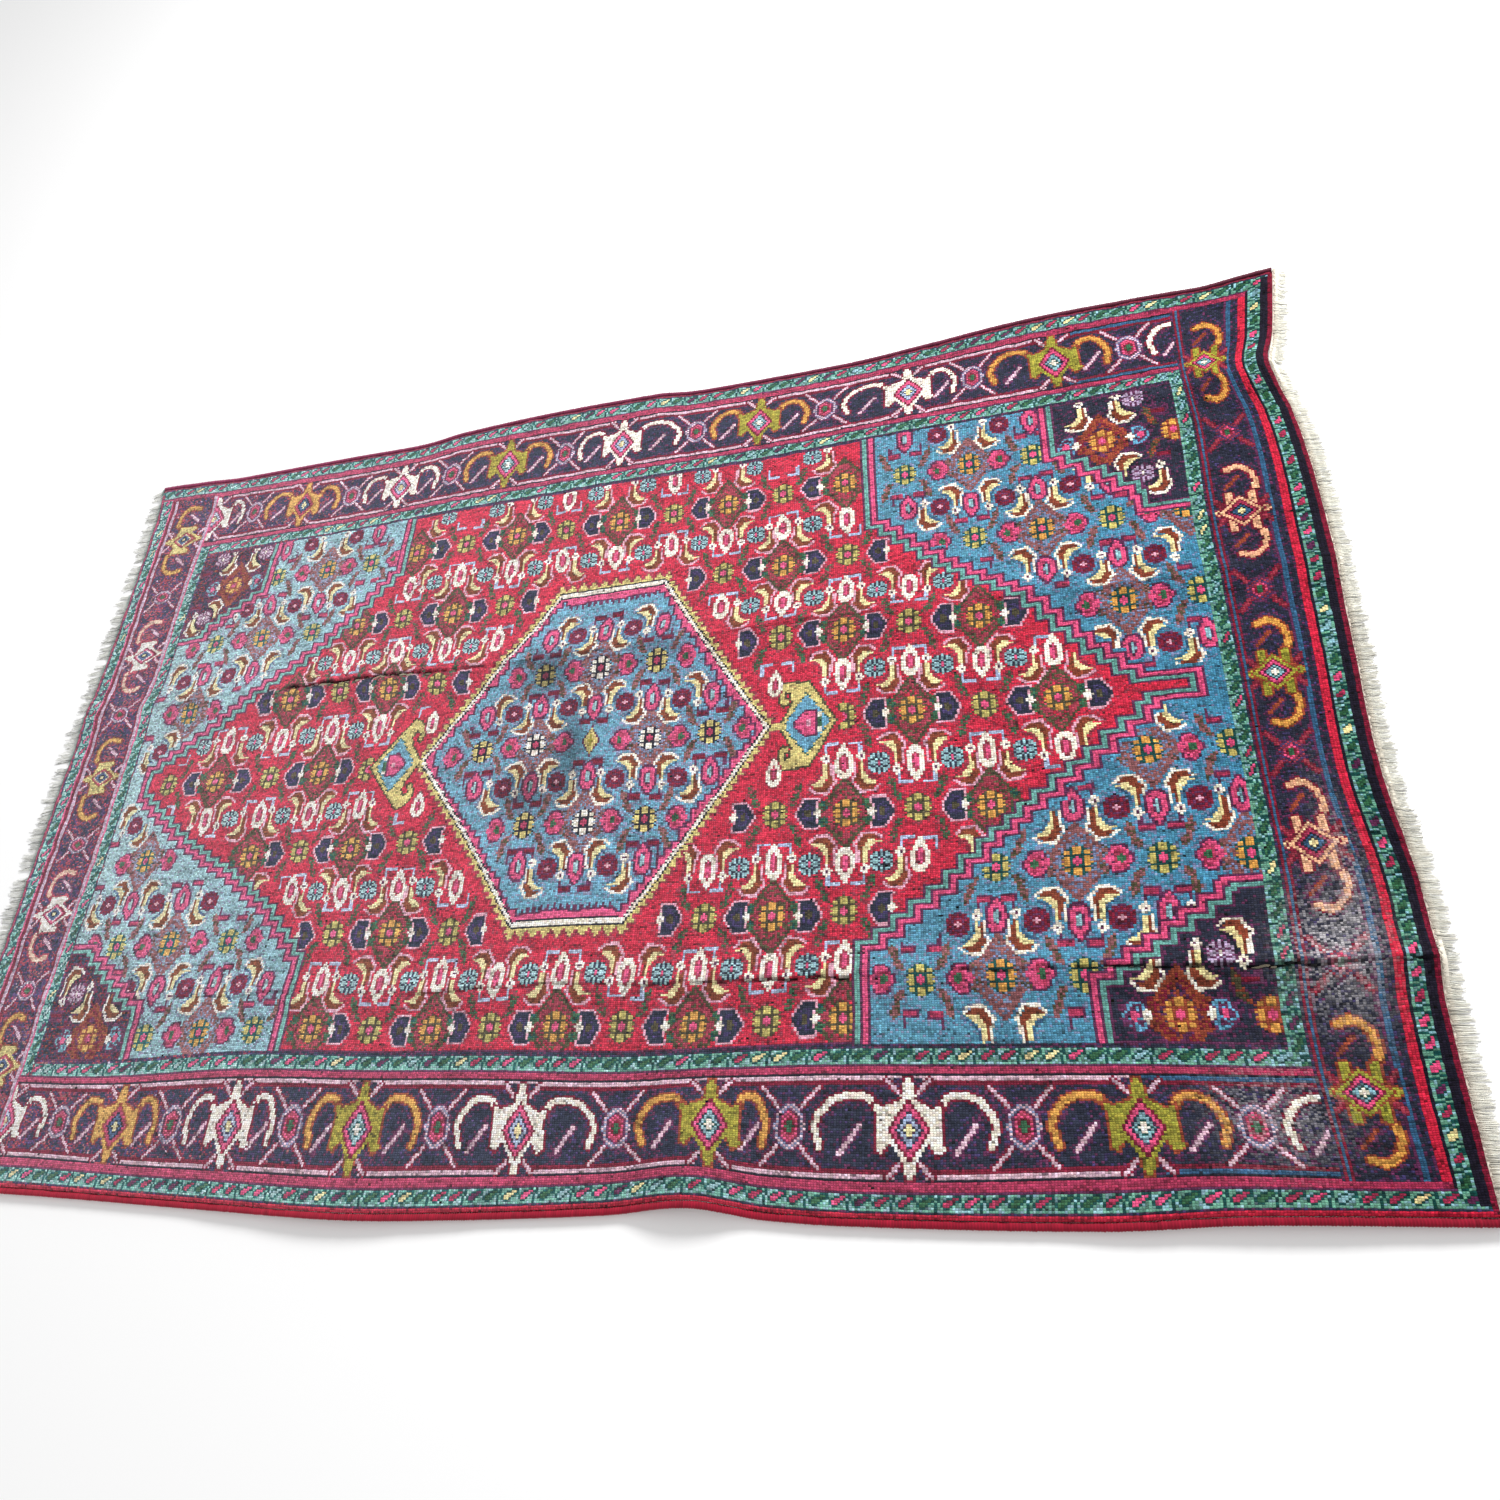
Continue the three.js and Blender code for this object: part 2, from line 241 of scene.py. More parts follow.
class Place:
    """Draws shapes, given round a motif's own middle, at (x, y): a runs along and b across. A turned place
    lays a along y and b along x. Grow stretches both."""

    def __init__(self, x, y, along=1, across=1, turned=False, grow=(1, 1)):
        self.x, self.y, self.turned = x, y, turned
        self.ka, self.kb = along * grow[0], across * grow[1]
        if turned:
            self.ka /= ASPECT
            self.kb *= ASPECT

    def flipped(self, end):
        """the same place, upside down if end is -1"""
        other = copy.copy(self)
        other.kb *= end
        return other

    def at(self, a, b):
        a, b = a * self.ka, b * self.kb
        return (self.x + b, self.y + a) if self.turned else (self.x + a, self.y + b)

    def points(self, points):
        return [self.at(a, b) for a, b in points]

    def polygon(self, points, dye):
        polygon(self.points(points), dye)

    def line(self, points, width, dye):
        line(self.points(points), width, dye)

    def edged_line(self, points, width, dye, edge_width, edge):
        self.line(points, edge_width, edge)
        self.line(points, width, dye)

    def outlined(self, points, dye, edge, width=2.4):
        self.line([*points, points[0]], width, edge)
        self.polygon(points, dye)

    def mottled(self, points, dyes):
        """a polygon tied in a random mix of dyes"""
        points = self.points(points)
        part, x, y = window(*zip(*points))
        inside = inside_polygon(points, x, y)
        pick = rng.integers(0, len(dyes), inside.shape)
        for number, dye in enumerate(dyes):
            knot(part, inside & (pick == number), dye)

    def block(self, a0, a1, b0, b1, dye):
        self.polygon([(a0, b0), (a1, b0), (a1, b1), (a0, b1)], dye)

    def radial(self, a, b, ra, rb, dye, power, dots):
        x, y = self.at(a, b)
        rx, ry = abs(ra * self.ka), abs(rb * self.kb)
        if self.turned:
            rx, ry = ry, rx
        part, gx, gy = window((x - rx, x + rx), (y - ry, y + ry), 1)
        inside = np.abs((gx - x) / rx) ** power + np.abs((gy - y) / ry) ** power <= 1
        knot(part, inside & (every_second(gx, gy) | (not dots)), dye)

    def oval(self, a, b, ra, rb, dye, dots=False):
        self.radial(a, b, ra, rb, dye, 2, dots)

    def lozenge(self, a, b, ra, rb, dye, dots=False):
        self.radial(a, b, ra, rb, dye, 1, dots)


def quarter(x, y, rows, dyes):
    """a small repeat, given as its upper right quarter, from the middle knot outwards"""
    column, row = math.floor(x + COLUMNS / 2), math.floor(y + ROWS / 2)
    for j, letters in enumerate(rows):
        for i, letter in enumerate(letters):
            if letter == ".":
                continue
            for r in {row - j, row + j}:
                for c in {column - i, column + i}:
                    if 0 <= r < ROWS and 0 <= c < COLUMNS and allowed[r, c]:
                        chart[r, c] = INDEX[dyes[letter]]


# The small repeat: rosettes of nine squares (h heart, k outline, b squares), a flower with eight petals
# (h heart, k gaps, b petals), and a dark flower with a star in it
ROSETTE = (
    "hhkbb.",
    "hhkbbb",
    "hkkbbk",
    "kkkkk.",
    "bbkbbk",
    "bbkbb.",
    "bbkk..",
    "bbk...",
    "k.....",
)
PETALS = (
    "hbbbb",
    "hkbbk",
    "kbkkb",
    "bkbbb",
    "bkbb.",
    "bkbk.",
    "b....",
)
STAR = (
    "hhbbk",
    "hbkbb",
    "bbkbb",
    "kkbkb",
    "bbbk.",
    "bkbb.",
    "kk...",
)


def along_mirror(*half):
    """a closed shape from its upper half and the mirror of that"""
    return [*half, *((a, -b) for a, b in half[::-1])]


def across_mirror(*half):
    """a closed shape from its right half and the mirror of that"""
    return [*half, *((-a, b) for a, b in half[::-1])]


# Shapes of the repeat. The fish leaf is given for the upper right of a flower and comes back lower left.
LEAF_EDGE = ((0.3, 12.4), (2.6, 15.2), (7.9, 15.8), (9.8, 12), (11.3, 9.6), (9.9, 5.5), (9.8, -0.6))
LEAF_BACK = ((1.2, 11.8), (3.2, 14.6), (7.5, 15), (9, 11.5), (10.5, 9.3), (9.1, 5.5), (8.9, -0.8), (7.9, -1),
             (7.6, 4.6), (7.9, 7.7), (5.2, 11.8))
LEAF_BELLY = ((0, 10.7), (3, 11.7), (5.4, 11.7), (7.9, 7.5), (7.7, -0.6), (6.4, -1), (6.3, 4.6), (4.6, 7.8),
              (2.8, 9.8))
LEAF_LINE = ((1, 9.4), (3.8, 7.7), (5.4, 4.2), (5.5, 0.6))
LONG_BODY = across_mirror((0.4, 10.8), (1.8, 7.6), (3.4, 4), (3.8, 0), (3.6, -5.6), (1.8, -9.2))
LONG_EYE = across_mirror((0, 5.8), (1.7, 2.6), (1.7, -3.6), (0, -6))
SHIELD = along_mirror((-3, 3), (-3.9, 8), (1.6, 8), (2.8, 5.4), (4.9, 1))
PALMETTE_INSIDE = along_mirror((-2, 5), (1, 5.6), (3.2, 1.4))
TREFOIL = along_mirror((-2.4, 1.6), (-3.6, 3.6), (-2.6, 6.4), (0.4, 6.6), (2.2, 4.8), (2.6, 2.6), (4.2, 1.2))

# What each ground of the field ties the repeat in, with what most of them share
SHARED = dict(
    far_rosette="gold", near_rosette="lime", heart="pink", shape=TREFOIL, palmette_edge="plum",
    palmette_dot="ivory", long_line="plum", long_eye="pink", leaf_back="brown", leaf_belly="cream",
    leaf_edge="ivory", hook_edge="plum", hook_from=7, stem="plum",
)
STYLES = {
    "red": dict(
        SHARED, ground="red", shade="dusk", speckle=0.08, halo=0.3, outline="moss", ring="moss",
        ring_mix=("dusk", "dusk", "moss"), side_leaf="leaf", shape=SHIELD, palmette="navy",
        palmette_edge="blush", palmette_eye="moss", palmette_ring="violet", long="ivory",
        long_edge="ivory", long_line="dusk", flower=PETALS, flower_dyes=("pink", "navy", "mist"),
        leaf_edge="blush", leaf_line="dusk", hook="frost", hook_edge="red", hook_height=1.9,
        stem="frost", vine=("leaf", "moss", "dusk"),
    ),
    "blue": dict(
        SHARED, ground="sky", shade="haze", speckle=0.06, halo=0.26, outline="teal", ring="umber",
        ring_mix=("umber", "umber", "haze"), side_leaf="umber", palmette="pink", palmette_eye="leaf",
        palmette_ring="rose", palmette_dot="pink", long="pink", long_edge="plum", long_eye="mist",
        flower=STAR, flower_dyes=("blush", "plum", "wine"), leaf_line="steel", hook="rose",
        hook_height=2.4, vine=("umber", "moss", "umber"),
    ),
    "dark": dict(
        SHARED, ground="navy", shade="plum", speckle=0.12, halo=0.45, near_rosette="gold",
        outline="rust", ring="rust", ring_mix=("rust", "rust", "wine"), side_leaf="rust",
        palmette="azure", palmette_eye="pink", palmette_ring="plum", long="lilac", long_edge="wine",
        flower=PETALS, flower_dyes=("ivory", "plum", "lilac"), leaf_line="ink", hook="wine",
        hook_from=6, hook_height=2.2, vine=("moss", "rust", "moss"),
    ),
}
STYLES["middle"] = dict(STYLES["blue"], ground="azure", far_rosette="ivory", near_rosette="khaki",
                        heart="rose", outline="ink", hook="wine", speckle=0.1, halo=0.4)

# The lattice of the repeat: rosettes in rows, and in columns that spread a little towards the left-hand end
COLUMN_STEP = 29.5
ROW_STEP = 54.8
FIRST_ROW = -10.5
NEAR_RIGHT_SHIFT = 18


def column_x(n):
    spread = {-7: -2.5, -8: -4.5, -9: -4.5}
    return COLUMN_STEP * n + spread.get(n, 0)


def speckle(mask, ground, dye, share):
    """scatters a second dye over the ground of a mask"""
    tie(mask & (chart == INDEX[ground]) & (rng.random(chart.shape) < share), dye)


def fits(zone, place, a0, a1, b0, b1, share=0.85):
    """whether a motif's box lies in the zone, but for a small part"""
    (ax, ay), (bx, by) = place.at(a0, b0), place.at(a1, b1)
    part, _, _ = window((ax, bx), (ay, by))
    return zone[part].sum() >= share * abs((bx - ax) * (by - ay))


FOUR_WAYS = [(side, end) for side in (-1, 1) for end in (-1, 1)]
RING = ((0, 20), (11.8, 0), (0, -20), (-11.8, 0))
RING_INSIDE = ((0, 13.4), (7.8, 0), (0, -13.4), (-7.8, 0))
SIDE_LEAF = ((7, 3.4), (9, 1.6), (11, 3.4), (10.6, 7), (8.2, 7.6))
MOTTLE = {"leaf": ("leaf", "moss", "leaf", "teal"), "umber": ("umber", "haze", "umber", "moss"),
          "rust": ("rust", "wine", "brown")}


def draw_rings(style, x, y):
    place = Place(x, y)
    place.mottled(RING, style.ring_mix)
    place.mottled(RING_INSIDE, (style.ground, style.shade, style.shade, style.ring))
    place.line([*RING, RING[0]], 1.3, style.ring)
    for side, end in FOUR_WAYS:
        Place(x, y, side, end).mottled(SIDE_LEAF, MOTTLE[style.side_leaf])


VINE_LEAVES = (
    ((5.8, 4.6), (8.6, 5), (10.8, 8.6), (9.8, 12), (7.2, 9.4)),
    ((8, 10), (10.8, 11), (12.2, 14.4), (11.6, 19.4), (8.9, 16.4)),
)


def draw_vines(style, x, y, zone):
    for side, end in FOUR_WAYS:
        vine = Place(x, y, side, end)
        if fits(zone, vine, 6, 11, 5, 19):
            for leaf in VINE_LEAVES:
                vine.mottled(leaf, style.vine)


HOOK_TOP = 10.8


def draw_hooks(style, x, y, hand, zone):
    start, height = style.hook_from, style.hook_height
    end = 13 if height < 2 else 12.2
    for turn in (-1, 1):
        hook = Place(x, y, hand * turn, turn)
        if not fits(zone, hook, 6.5, 13, -15, -7):
            continue
        hook.block(start - 0.2, end + 0.6, -HOOK_TOP - height - 0.9, -HOOK_TOP + 0.9, style.hook_edge)
        hook.line([(7.6, -5.5), (7.7, -HOOK_TOP)], 1.2, style.stem)
        hook.block(start, end, -HOOK_TOP - height, -HOOK_TOP, style.hook)


def draw_leaves(style, x, y, hand, zone):
    for turn in (-1, 1):
        leaf = Place(x, y, hand * turn, turn)
        if not fits(zone, leaf, 1, 11, 2, 17, 0.72):
            continue
        leaf.line(LEAF_EDGE, 1.2, style.leaf_edge)
        leaf.polygon(LEAF_BACK, style.leaf_back)
        leaf.line(LEAF_LINE, 0.9, style.leaf_line)
        leaf.polygon(LEAF_BELLY, style.leaf_belly)
        if fits(zone, leaf, 5, 9, -7, -1):
            leaf.lozenge(7.2, -4.2, 2.3, 3.6, "ivory")
            leaf.oval(7.2, -4.2, 0.6, 0.9, "plum")


def draw_long(style, x, y, up, zone):
    edged = style.long_edge != style.long
    place = Place(x, y, 1, up, grow=(0.9, 0.84) if edged else (1, 1))
    if not fits(zone, place, -4, 4, -9.5, 10, 0.94):
        return
    if edged:
        place.outlined(LONG_BODY, style.long, style.long_edge, 2)
    place.polygon(LONG_BODY, style.long)
    place.polygon(LONG_EYE, style.long_line)
    place.oval(0, -0.3, 1.1, 4.2, style.long_eye)


def draw_palmette(style, x, y, hand, zone):
    place = Place(x, y, hand, 1)
    if not fits(zone, place, -4.5, 4.5, -7, 7, 0.78):
        return
    place.outlined(style.shape, style.palmette, style.palmette_edge, 1.7)
    place.mottled(PALMETTE_INSIDE, (style.palmette, style.palmette_ring, style.palmette_ring))
    place.oval(0.3, 0, 1.4, 2.4, style.palmette_eye)
    place.lozenge(-3.9, 0, 1.9, 3.5, style.palmette_dot)


def grown(mask, nx, ny):
    """the mask grown by nx knots to both sides and ny knots up and down"""
    out = mask.copy()
    for i in range(1, nx + 1):
        out[:, i:] |= mask[:, :-i]
        out[:, :-i] |= mask[:, i:]
    wide = out.copy()
    for j in range(1, ny + 1):
        out[j:] |= wide[:-j]
        out[:-j] |= wide[j:]
    return out


def shrunk(mask, nx, ny):
    return ~grown(~mask, nx, ny)


# How far round the motifs the ground is tied unevenly, in knots along and across
HALO = (1, 2)


def herati(style_name, zone, first_row=FIRST_ROW, row_step=ROW_STEP, column=column_x, skip=()):
    """ties the whole repeat in one zone of the field; motifs that don't fit there are left out"""
    style = SimpleNamespace(**STYLES[style_name])
    allowed[:] = zone
    tie(zone, style.ground)
    cells = [(n, m) for n in range(-10, 11) for m in range(-5, 5)]
    spots = {}
    for n, m in cells:
        spots[n, m] = (column(n) + rng.uniform(-0.6, 0.6), first_row + row_step * m + rng.uniform(-0.8, 0.8))

    def is_far(n, m):
        return (n + m) % 2 == 1

    def has_rosette(cell):
        return cell not in skip and fits(zone, Place(*spots[cell]), -5, 5, -8, 8, 0.75)

    tied = [cell for cell in cells if has_rosette(cell)]
    for n, m in tied:
        x, y = spots[n, m]
        if is_far(n, m):
            draw_rings(style, x, y)
        else:
            draw_vines(style, x, y, zone)
    for n, m in cells:
        x = (column(n) + column(n + 1)) / 2 + rng.uniform(-0.5, 0.5)
        y = first_row + row_step * (m + 0.5) - 0.8 + rng.uniform(-0.6, 0.6)
        hand = 1 if is_far(n, m) else -1
        draw_hooks(style, x, y, hand, zone)
        if fits(zone, Place(x, y), -4.5, 4.5, -8, 8, 0.9):
            quarter(x, y, style.flower, dict(zip("hkb", style.flower_dyes)))
        draw_leaves(style, x, y, hand, zone)
    for n, m in cells:
        x, y = spots[n, m]
        if (n, m) in tied:
            square = style.far_rosette if is_far(n, m) else style.near_rosette
            quarter(x, y, ROSETTE, dict(h=style.heart, k=style.outline, b=square))
        middle = (column(n) + column(n + 1)) / 2 + rng.uniform(-0.4, 0.4)
        draw_palmette(style, middle, y, 1 if is_far(n, m) else -1, zone)
        up = -1 if is_far(n, m + 1) else 1
        draw_long(style, x, first_row + row_step * (m + 0.5) + rng.uniform(-1, 1) + 1.5 * up, up, zone)
    motifs = zone & (chart != INDEX[style.ground])
    speckle(zone & grown(motifs, *HALO), style.ground, style.shade, style.halo)
    speckle(zone, style.ground, style.shade, style.speckle)
    allowed[:] = True


STAIR = 6.2


def stairs(corners):
    """the stepped path through the corners: level first, then upright, in steps of about STAIR knots"""
    path = [corners[0]]
    for (ax, ay), (bx, by) in zip(corners, corners[1:]):
        steps = max(1, round(abs(bx - ax) / STAIR)) if ax != bx and ay != by else 1
        for k in range(1, steps + 1):
            x = ax + (bx - ax) * k / steps
            y = ay + (by - ay) * k / steps
            path += [(x, path[-1][1]), (x, y)]
    return path


def zone_of(points):
    return inside_polygon(points, GRID_X, GRID_Y)


# The middle of the bands round the red ground, cut off by both sides of the field
BEYOND = FIELD_Y + 3
HEXAGON = stairs([(-126, BEYOND), (-126, 140), (-142, 117), (-164, 87), (-196, 55), (-224, 26), (-250, 3),
                  (-256, -1), (-256, -19), (-245, -31), (-219, -55), (-190, -76), (-162, -102),
                  (-138, -133), (-133, -141), (-133, -BEYOND)])
HEXAGON += stairs([(124, -BEYOND), (124, -139), (131, -133), (152, -112), (172, -88), (194, -64), (215, -44),
                   (236, -21), (240, -16), (257, -16), (257, -3), (240, -3), (236, 3), (214, 34), (197, 58),
                   (166, 85), (141, 113), (129.5, 125), (129.5, BEYOND)])
# The same for the dark corners of the field
OUTSIDE = FIELD_X + 12
CORNERS = [
    [*stairs([(edge, end * BEYOND), (edge, start), *steps, (side * OUTSIDE, steps[-1][1])]),
     (side * OUTSIDE, end * BEYOND)]
    for side, end, edge, start, steps in (
        (-1, 1, -217, 141, [(-250, 112), (-252, 107)]),
        (-1, -1, -216.5, -156, [(-253, -123), (-256, -121)]),
        (1, 1, 213.6, 148, [(247, 111), (249, 101)]),
        (1, -1, 210.6, -159, [(255, -117), (257, -115)]),
    )
]
# Bands round a ground: dye, and how many knots wide along and across
BAND_DYES = (("plum", 1, 1), ("aqua", 2, 2), ("plum", 1, 1), ("pink", 2, 2), ("plum", 1, 1))


def band_outwards(core, dyes, within):
    """lays bands round a mask, from the inside outwards"""
    for dye, nx, ny in dyes:
        wider = grown(core, nx, ny)
        tie(wider & ~core & within, dye)
        core = wider
    return core


# The medallion: a hexagon, with its frame given as distances outwards from the light line's outer edge
MEDALLION = ((-89, -10.5), (-27, 101), (28, 101), (85, -11), (24, -121.5), (-27, -121.5))
TOOTH = (13.6, 19)
TOOTH_HEIGHT = (8.5, 14)
LIGHT_LINE = (4.6, 9)
STEP_COLUMNS = 2.8
STEP_ROWS = 3.8
SAW_PITCH = 10.5
# Its lines, in millimetres: the dark rim, the foot of the teeth, and then how far inside the light line the
# other bands begin
RIM = (-0.6, 2.4)
TEETH_FOOT = 3.4
DARK_LINE = 2.6
PINK_BAND = 12.5
PINK_LEAST = 8
SAW_FROM = 13
SAW_DEPTH = 12
MEDALLION_ROOM = 9


def medallion_distance():
    """how far each knot lies outside the hexagon, in millimetres, how far along its nearest side, and if
    that side is level"""
    x, y = GRID_X * KNOT_X, GRID_Y * KNOT_Y
    corners = [(a * KNOT_X, b * KNOT_Y) for a, b in MEDALLION]
    far = np.full((ROWS, COLUMNS), -1e6)
    along = np.zeros((ROWS, COLUMNS))
    level = np.zeros((ROWS, COLUMNS), bool)
    for (ax, ay), (bx, by) in zip(corners, corners[1:] + corners[:1]):
        length = math.hypot(bx - ax, by - ay)
        nx, ny = -(by - ay) / length, (bx - ax) / length
        away = (x - ax) * nx + (y - ay) * ny
        here = ((x - ax) * (bx - ax) + (y - ay) * (by - ay)) / length
        along = np.where(away > far, here, along)
        level = np.where(away > far, abs(by - ay) < 1, level)
        far = np.maximum(away, far)
    return far, along, level


def zigzag(along, pitch):
    """goes from 1 to 0 and back over each pitch"""
    return np.abs(2 * np.mod(along / pitch, 1) - 1)


def middle_of_step(knots, step, count):
    """the number of the knot in the middle of the step that each knot belongs to"""
    middle = (np.floor(knots / step) + 0.5) * step
    return np.clip(np.round(middle + count / 2), 0, count - 1).astype(int)


def medallion():
    far, along, flat = medallion_distance()
    tooth, tooth_height, light = (np.where(flat, b, a) for a, b in (TOOTH, TOOTH_HEIGHT, LIGHT_LINE))
    dashed = flat | ((np.floor(GRID_X) + np.floor(GRID_Y)) % 3 > 0)
    teeth = far < TEETH_FOOT + tooth_height * zigzag(along, tooth)
    tie(grown(teeth, 1, 1) & ~teeth, "dusk")
    tie(teeth, "khaki")
    tie((far < RIM[1]) & (far > RIM[0]) & dashed, "ink")
    tie(far <= RIM[0], "ivory")
    tie((far < -light) & dashed, "ink")
    tie(far < -light - DARK_LINE, "pink")
    near_column = middle_of_step(KNOTS_X, STEP_COLUMNS, COLUMNS)[None, :]
    near_row = middle_of_step(KNOTS_Y, STEP_ROWS, ROWS)[:, None]
    stepped = far[near_row, near_column] < -light - PINK_BAND
    saw = far < -light - SAW_FROM - SAW_DEPTH * zigzag(along, SAW_PITCH)
    inner = np.where(flat, saw, stepped & (far < -light - PINK_LEAST))
    tie(grown(inner, 1, 1), "plum")
    herati("middle", inner, first_row=-10, row_step=52, column=lambda n: 28.8 * n + 0.6, skip={(0, 0)})
    lozenge = Place(0.5, -10)
    for dye, ra, rb in (("plum", 4.8, 10.5), ("khaki", 3.9, 9), ("olive", 1.6, 3.6)):
        lozenge.lozenge(0, 0, ra, rb, dye)


# Half of a pendant, from its outer tip over the curled horn to the medallion's tip
LEFT_PENDANT = ((-13.5, 0), (6.5, 30.5), (10.5, 28.5), (13, 24.5), (13.5, 18.5), (12, 14.5), (10.4, 15.5),
                (11.4, 20), (9.6, 22.4), (7.6, 21.4), (6.8, 17.5), (7.5, 12.5), (12.8, 3), (14.5, 0))
RIGHT_PENDANT = ((-12.5, 0), (-0.5, 25), (10.5, 26), (12.5, 24), (12.8, 16), (11.5, 12.6), (8.8, 12.8),
                 (9, 15.6), (10.4, 16.6), (10.2, 21), (8, 20), (6.8, 14), (10.8, 3.6), (13.5, 0))


def pendant(x, y, side, half):
    """a small diamond that hangs from a tip of the medallion, with two ram's horns"""
    place = Place(x, y, side, 1)
    for end in (-1, 1):
        place.flipped(end).line(half, 1.8, "moss")
    for end in (-1, 1):
        place.flipped(end).polygon(half, "khaki")
    place.lozenge(0.4, 0, 11.4, 19.6, "teal")
    place.lozenge(0.4, 0, 11.4, 19.6, "khaki", dots=True)
    place.lozenge(0.4, 0, 10.4, 17.8, "azure")
    place.outlined(along_mirror((-3.8, 6.6), (1, 7), (5.2, 1.3)), "pink", "plum", 1.7)
    for b0, b1, dye in ((-3, 3, "leaf"), (3.4, 5.8, "ivory"), (-5.8, -3.4, "ivory")):
        place.block(-6.4, -4.8, b0, b1, dye)
    place.oval(-0.4, 0, 1.3, 1.9, "blush")
    place.line([(11, 0), (15, 0)], 2.4, "khaki")


# Where the pendants and their horns stand, and the buds between the horns and the medallion
PENDANT_X = 103
PENDANT_Y = -11
HORN_X = 97
BUDS = ((87.5, 14.5), (87.5, -40), (-87, 16.5), (-85.5, -40.5))


def bud(x, y):
    place = Place(x, y, grow=(0.84, 0.84))
    place.outlined(LONG_BODY, "ivory", "dusk", 1.6)
    place.polygon(LONG_EYE, "dusk")
    place.oval(0, -0.3, 1.1, 3.6, "pink")


# Borders. A row is (width in knots, dye), outwards from the field. Guard is the stripe of lozenges, light a
# pale line that turns blue towards the right, and edge the last rows before the side edge.
SIDE_BANDS = ((2, "navy"), (7, "guard"), (1, "plum"), (3, "rose"), (1, "ink"), (2, "light"),
              (2, "wine"), (34, "navy"), (2, "wine"), (2, "light"), (1, "ink"), (4, "rose"), (1, "plum"),
              (7, "guard"), (1, "navy"), (2, "edge"))
RIGHT_BANDS = ((6, "guard"), (1, "navy"), (1, "wine"), (1, "steel"), (1, "wine"), (19, "navy"), (1, "plum"),
               (2, "steel"), (3, "navy"), (3, "red"), (1, "ink"), (5, "guard"), (3, "ink"), (2, "wine"))
LEFT_BANDS = ((1, "navy"), (6, "guard"), (1, "pink"), (2, "lilac"), (1, "wine"), (23, "navy"), (1, "wine"),
              (2, "lilac"), (2, "wine"), (1, "pink"), (6, "guard"), (1, "navy"), (2, "rose"))
SIDE_MAIN = 222.5
OUTER_FRAME_Y = 245
RIGHT_FRAME_X = 303
LEFT_FRAME_X = 307
RIGHT_MAIN = 288
LEFT_MAIN = -290.5
BLUE_LINE_FROM = 219
INNER_GUARD_END = 274
INNER_GUARD_REACH = 196
MITRE = 1.1

# A guard stripe's repeat, seen along the stripe: t ground, d outline, c lozenge
GUARD = (
    "dttttddt",
    "dttddccd",
    "dtdcccdt",
    "tdcccdtd",
    "tdccdttd",
    "ttddtttd",
    "tttttttd",
)
GUARD_PITCH = 7.5
GUARD_MIST = 0.3
LOZENGE_DYES = ("pink", "leaf", "rose", "leaf", "cream", "plum", "leaf", "pink", "mist", "rose")


def guard_stripe(x0, x1, y0, y1, turned, seed):
    """fills a box with the guard stripe"""
    part, x, y = window((x0, x1), (y0, y1))
    x, y = np.broadcast_arrays(x, y)
    if turned:
        along, across, pitch = y, (x - x0) / (x1 - x0), GUARD_PITCH / ASPECT
    else:
        along, across, pitch = x, (y - y0) / (y1 - y0), GUARD_PITCH
    units = np.floor(along / pitch).astype(int)
    i = np.floor((along / pitch - units) * len(GUARD[0])).astype(int)
    j = len(GUARD) - 1 - np.clip((across * len(GUARD)).astype(int), 0, len(GUARD) - 1)
    letters = np.array([list(row) for row in GUARD])[j, i]
    mixed = np.abs(np.sin(units * 12.9898 + seed) * 43758.5453) % 1
    dyes = np.array([INDEX[name] for name in LOZENGE_DYES])[(mixed * len(LOZENGE_DYES)).astype(int)]
    stripe = chart[part]
    stripe[:] = np.where(letters == "t", INDEX["guard"], np.where(letters == "d", INDEX["teal"], dyes))
    stripe[(letters == "t") & (rng.random(stripe.shape) < GUARD_MIST)] = INDEX["mist"]


def side_border(side):
    """the bands of the far side (1) or the near side (-1), over the whole length"""
    at = FIELD_Y
    end = COLUMNS / 2
    for width, dye in SIDE_BANDS:
        y0, y1 = sorted((side * at, side * (at + width)))
        if dye == "guard":
            guard_stripe(-end, end, y0, y1, False, at * side)
        elif dye == "light":
            block(-end, end, y0, y1, "smoke")
            block(BLUE_LINE_FROM, end, y0, y1, "steel")
        elif dye == "edge":
            block(-end, end, y0, y1, "wine" if side > 0 else "red")
        else:
            block(-end, end, y0, y1, dye)
        at += width


def end_border(side, bands, frame_x):
    """the bands of an end, which run through the corners up to the outer frame"""
    at = FIELD_X
    for width, dye in bands:
        x0, x1 = sorted((side * at, side * (at + width)))
        reach = OUTER_FRAME_Y + MITRE * max(0, at - frame_x)
        if at < INNER_GUARD_END:
            reach = INNER_GUARD_REACH
        if dye == "guard":
            guard_stripe(x0, x1, -reach, reach, True, at * side)
        else:
            block(x0, x1, -reach, reach, dye)
        at += width


LEFT_WING = ((-1, 12), (-5, 10), (-8.6, 8.6), (-11.8, 9.8), (-11.2, 4), (-11.4, -8.6), (-9.4, -10.4),
             (-6.6, -6))
RIGHT_WING = ((1, 12), (5, 9.4), (8, 7.4), (11.4, 8.8), (10.8, 2), (11.6, -9), (9, -11.4), (6.4, -6))
ARM_FROM = 10.6
SPIRE = ((-1, 20.6), (1, 20.6), (2.6, 13), (-2.6, 13))
# The path of an arm: how far out along its reach, and how far up
ARM = ((0, 7.5), (0.14, 12.3), (0.45, 13.4), (0.73, 11), (0.94, 5), (1, 0), (0.9, -8))
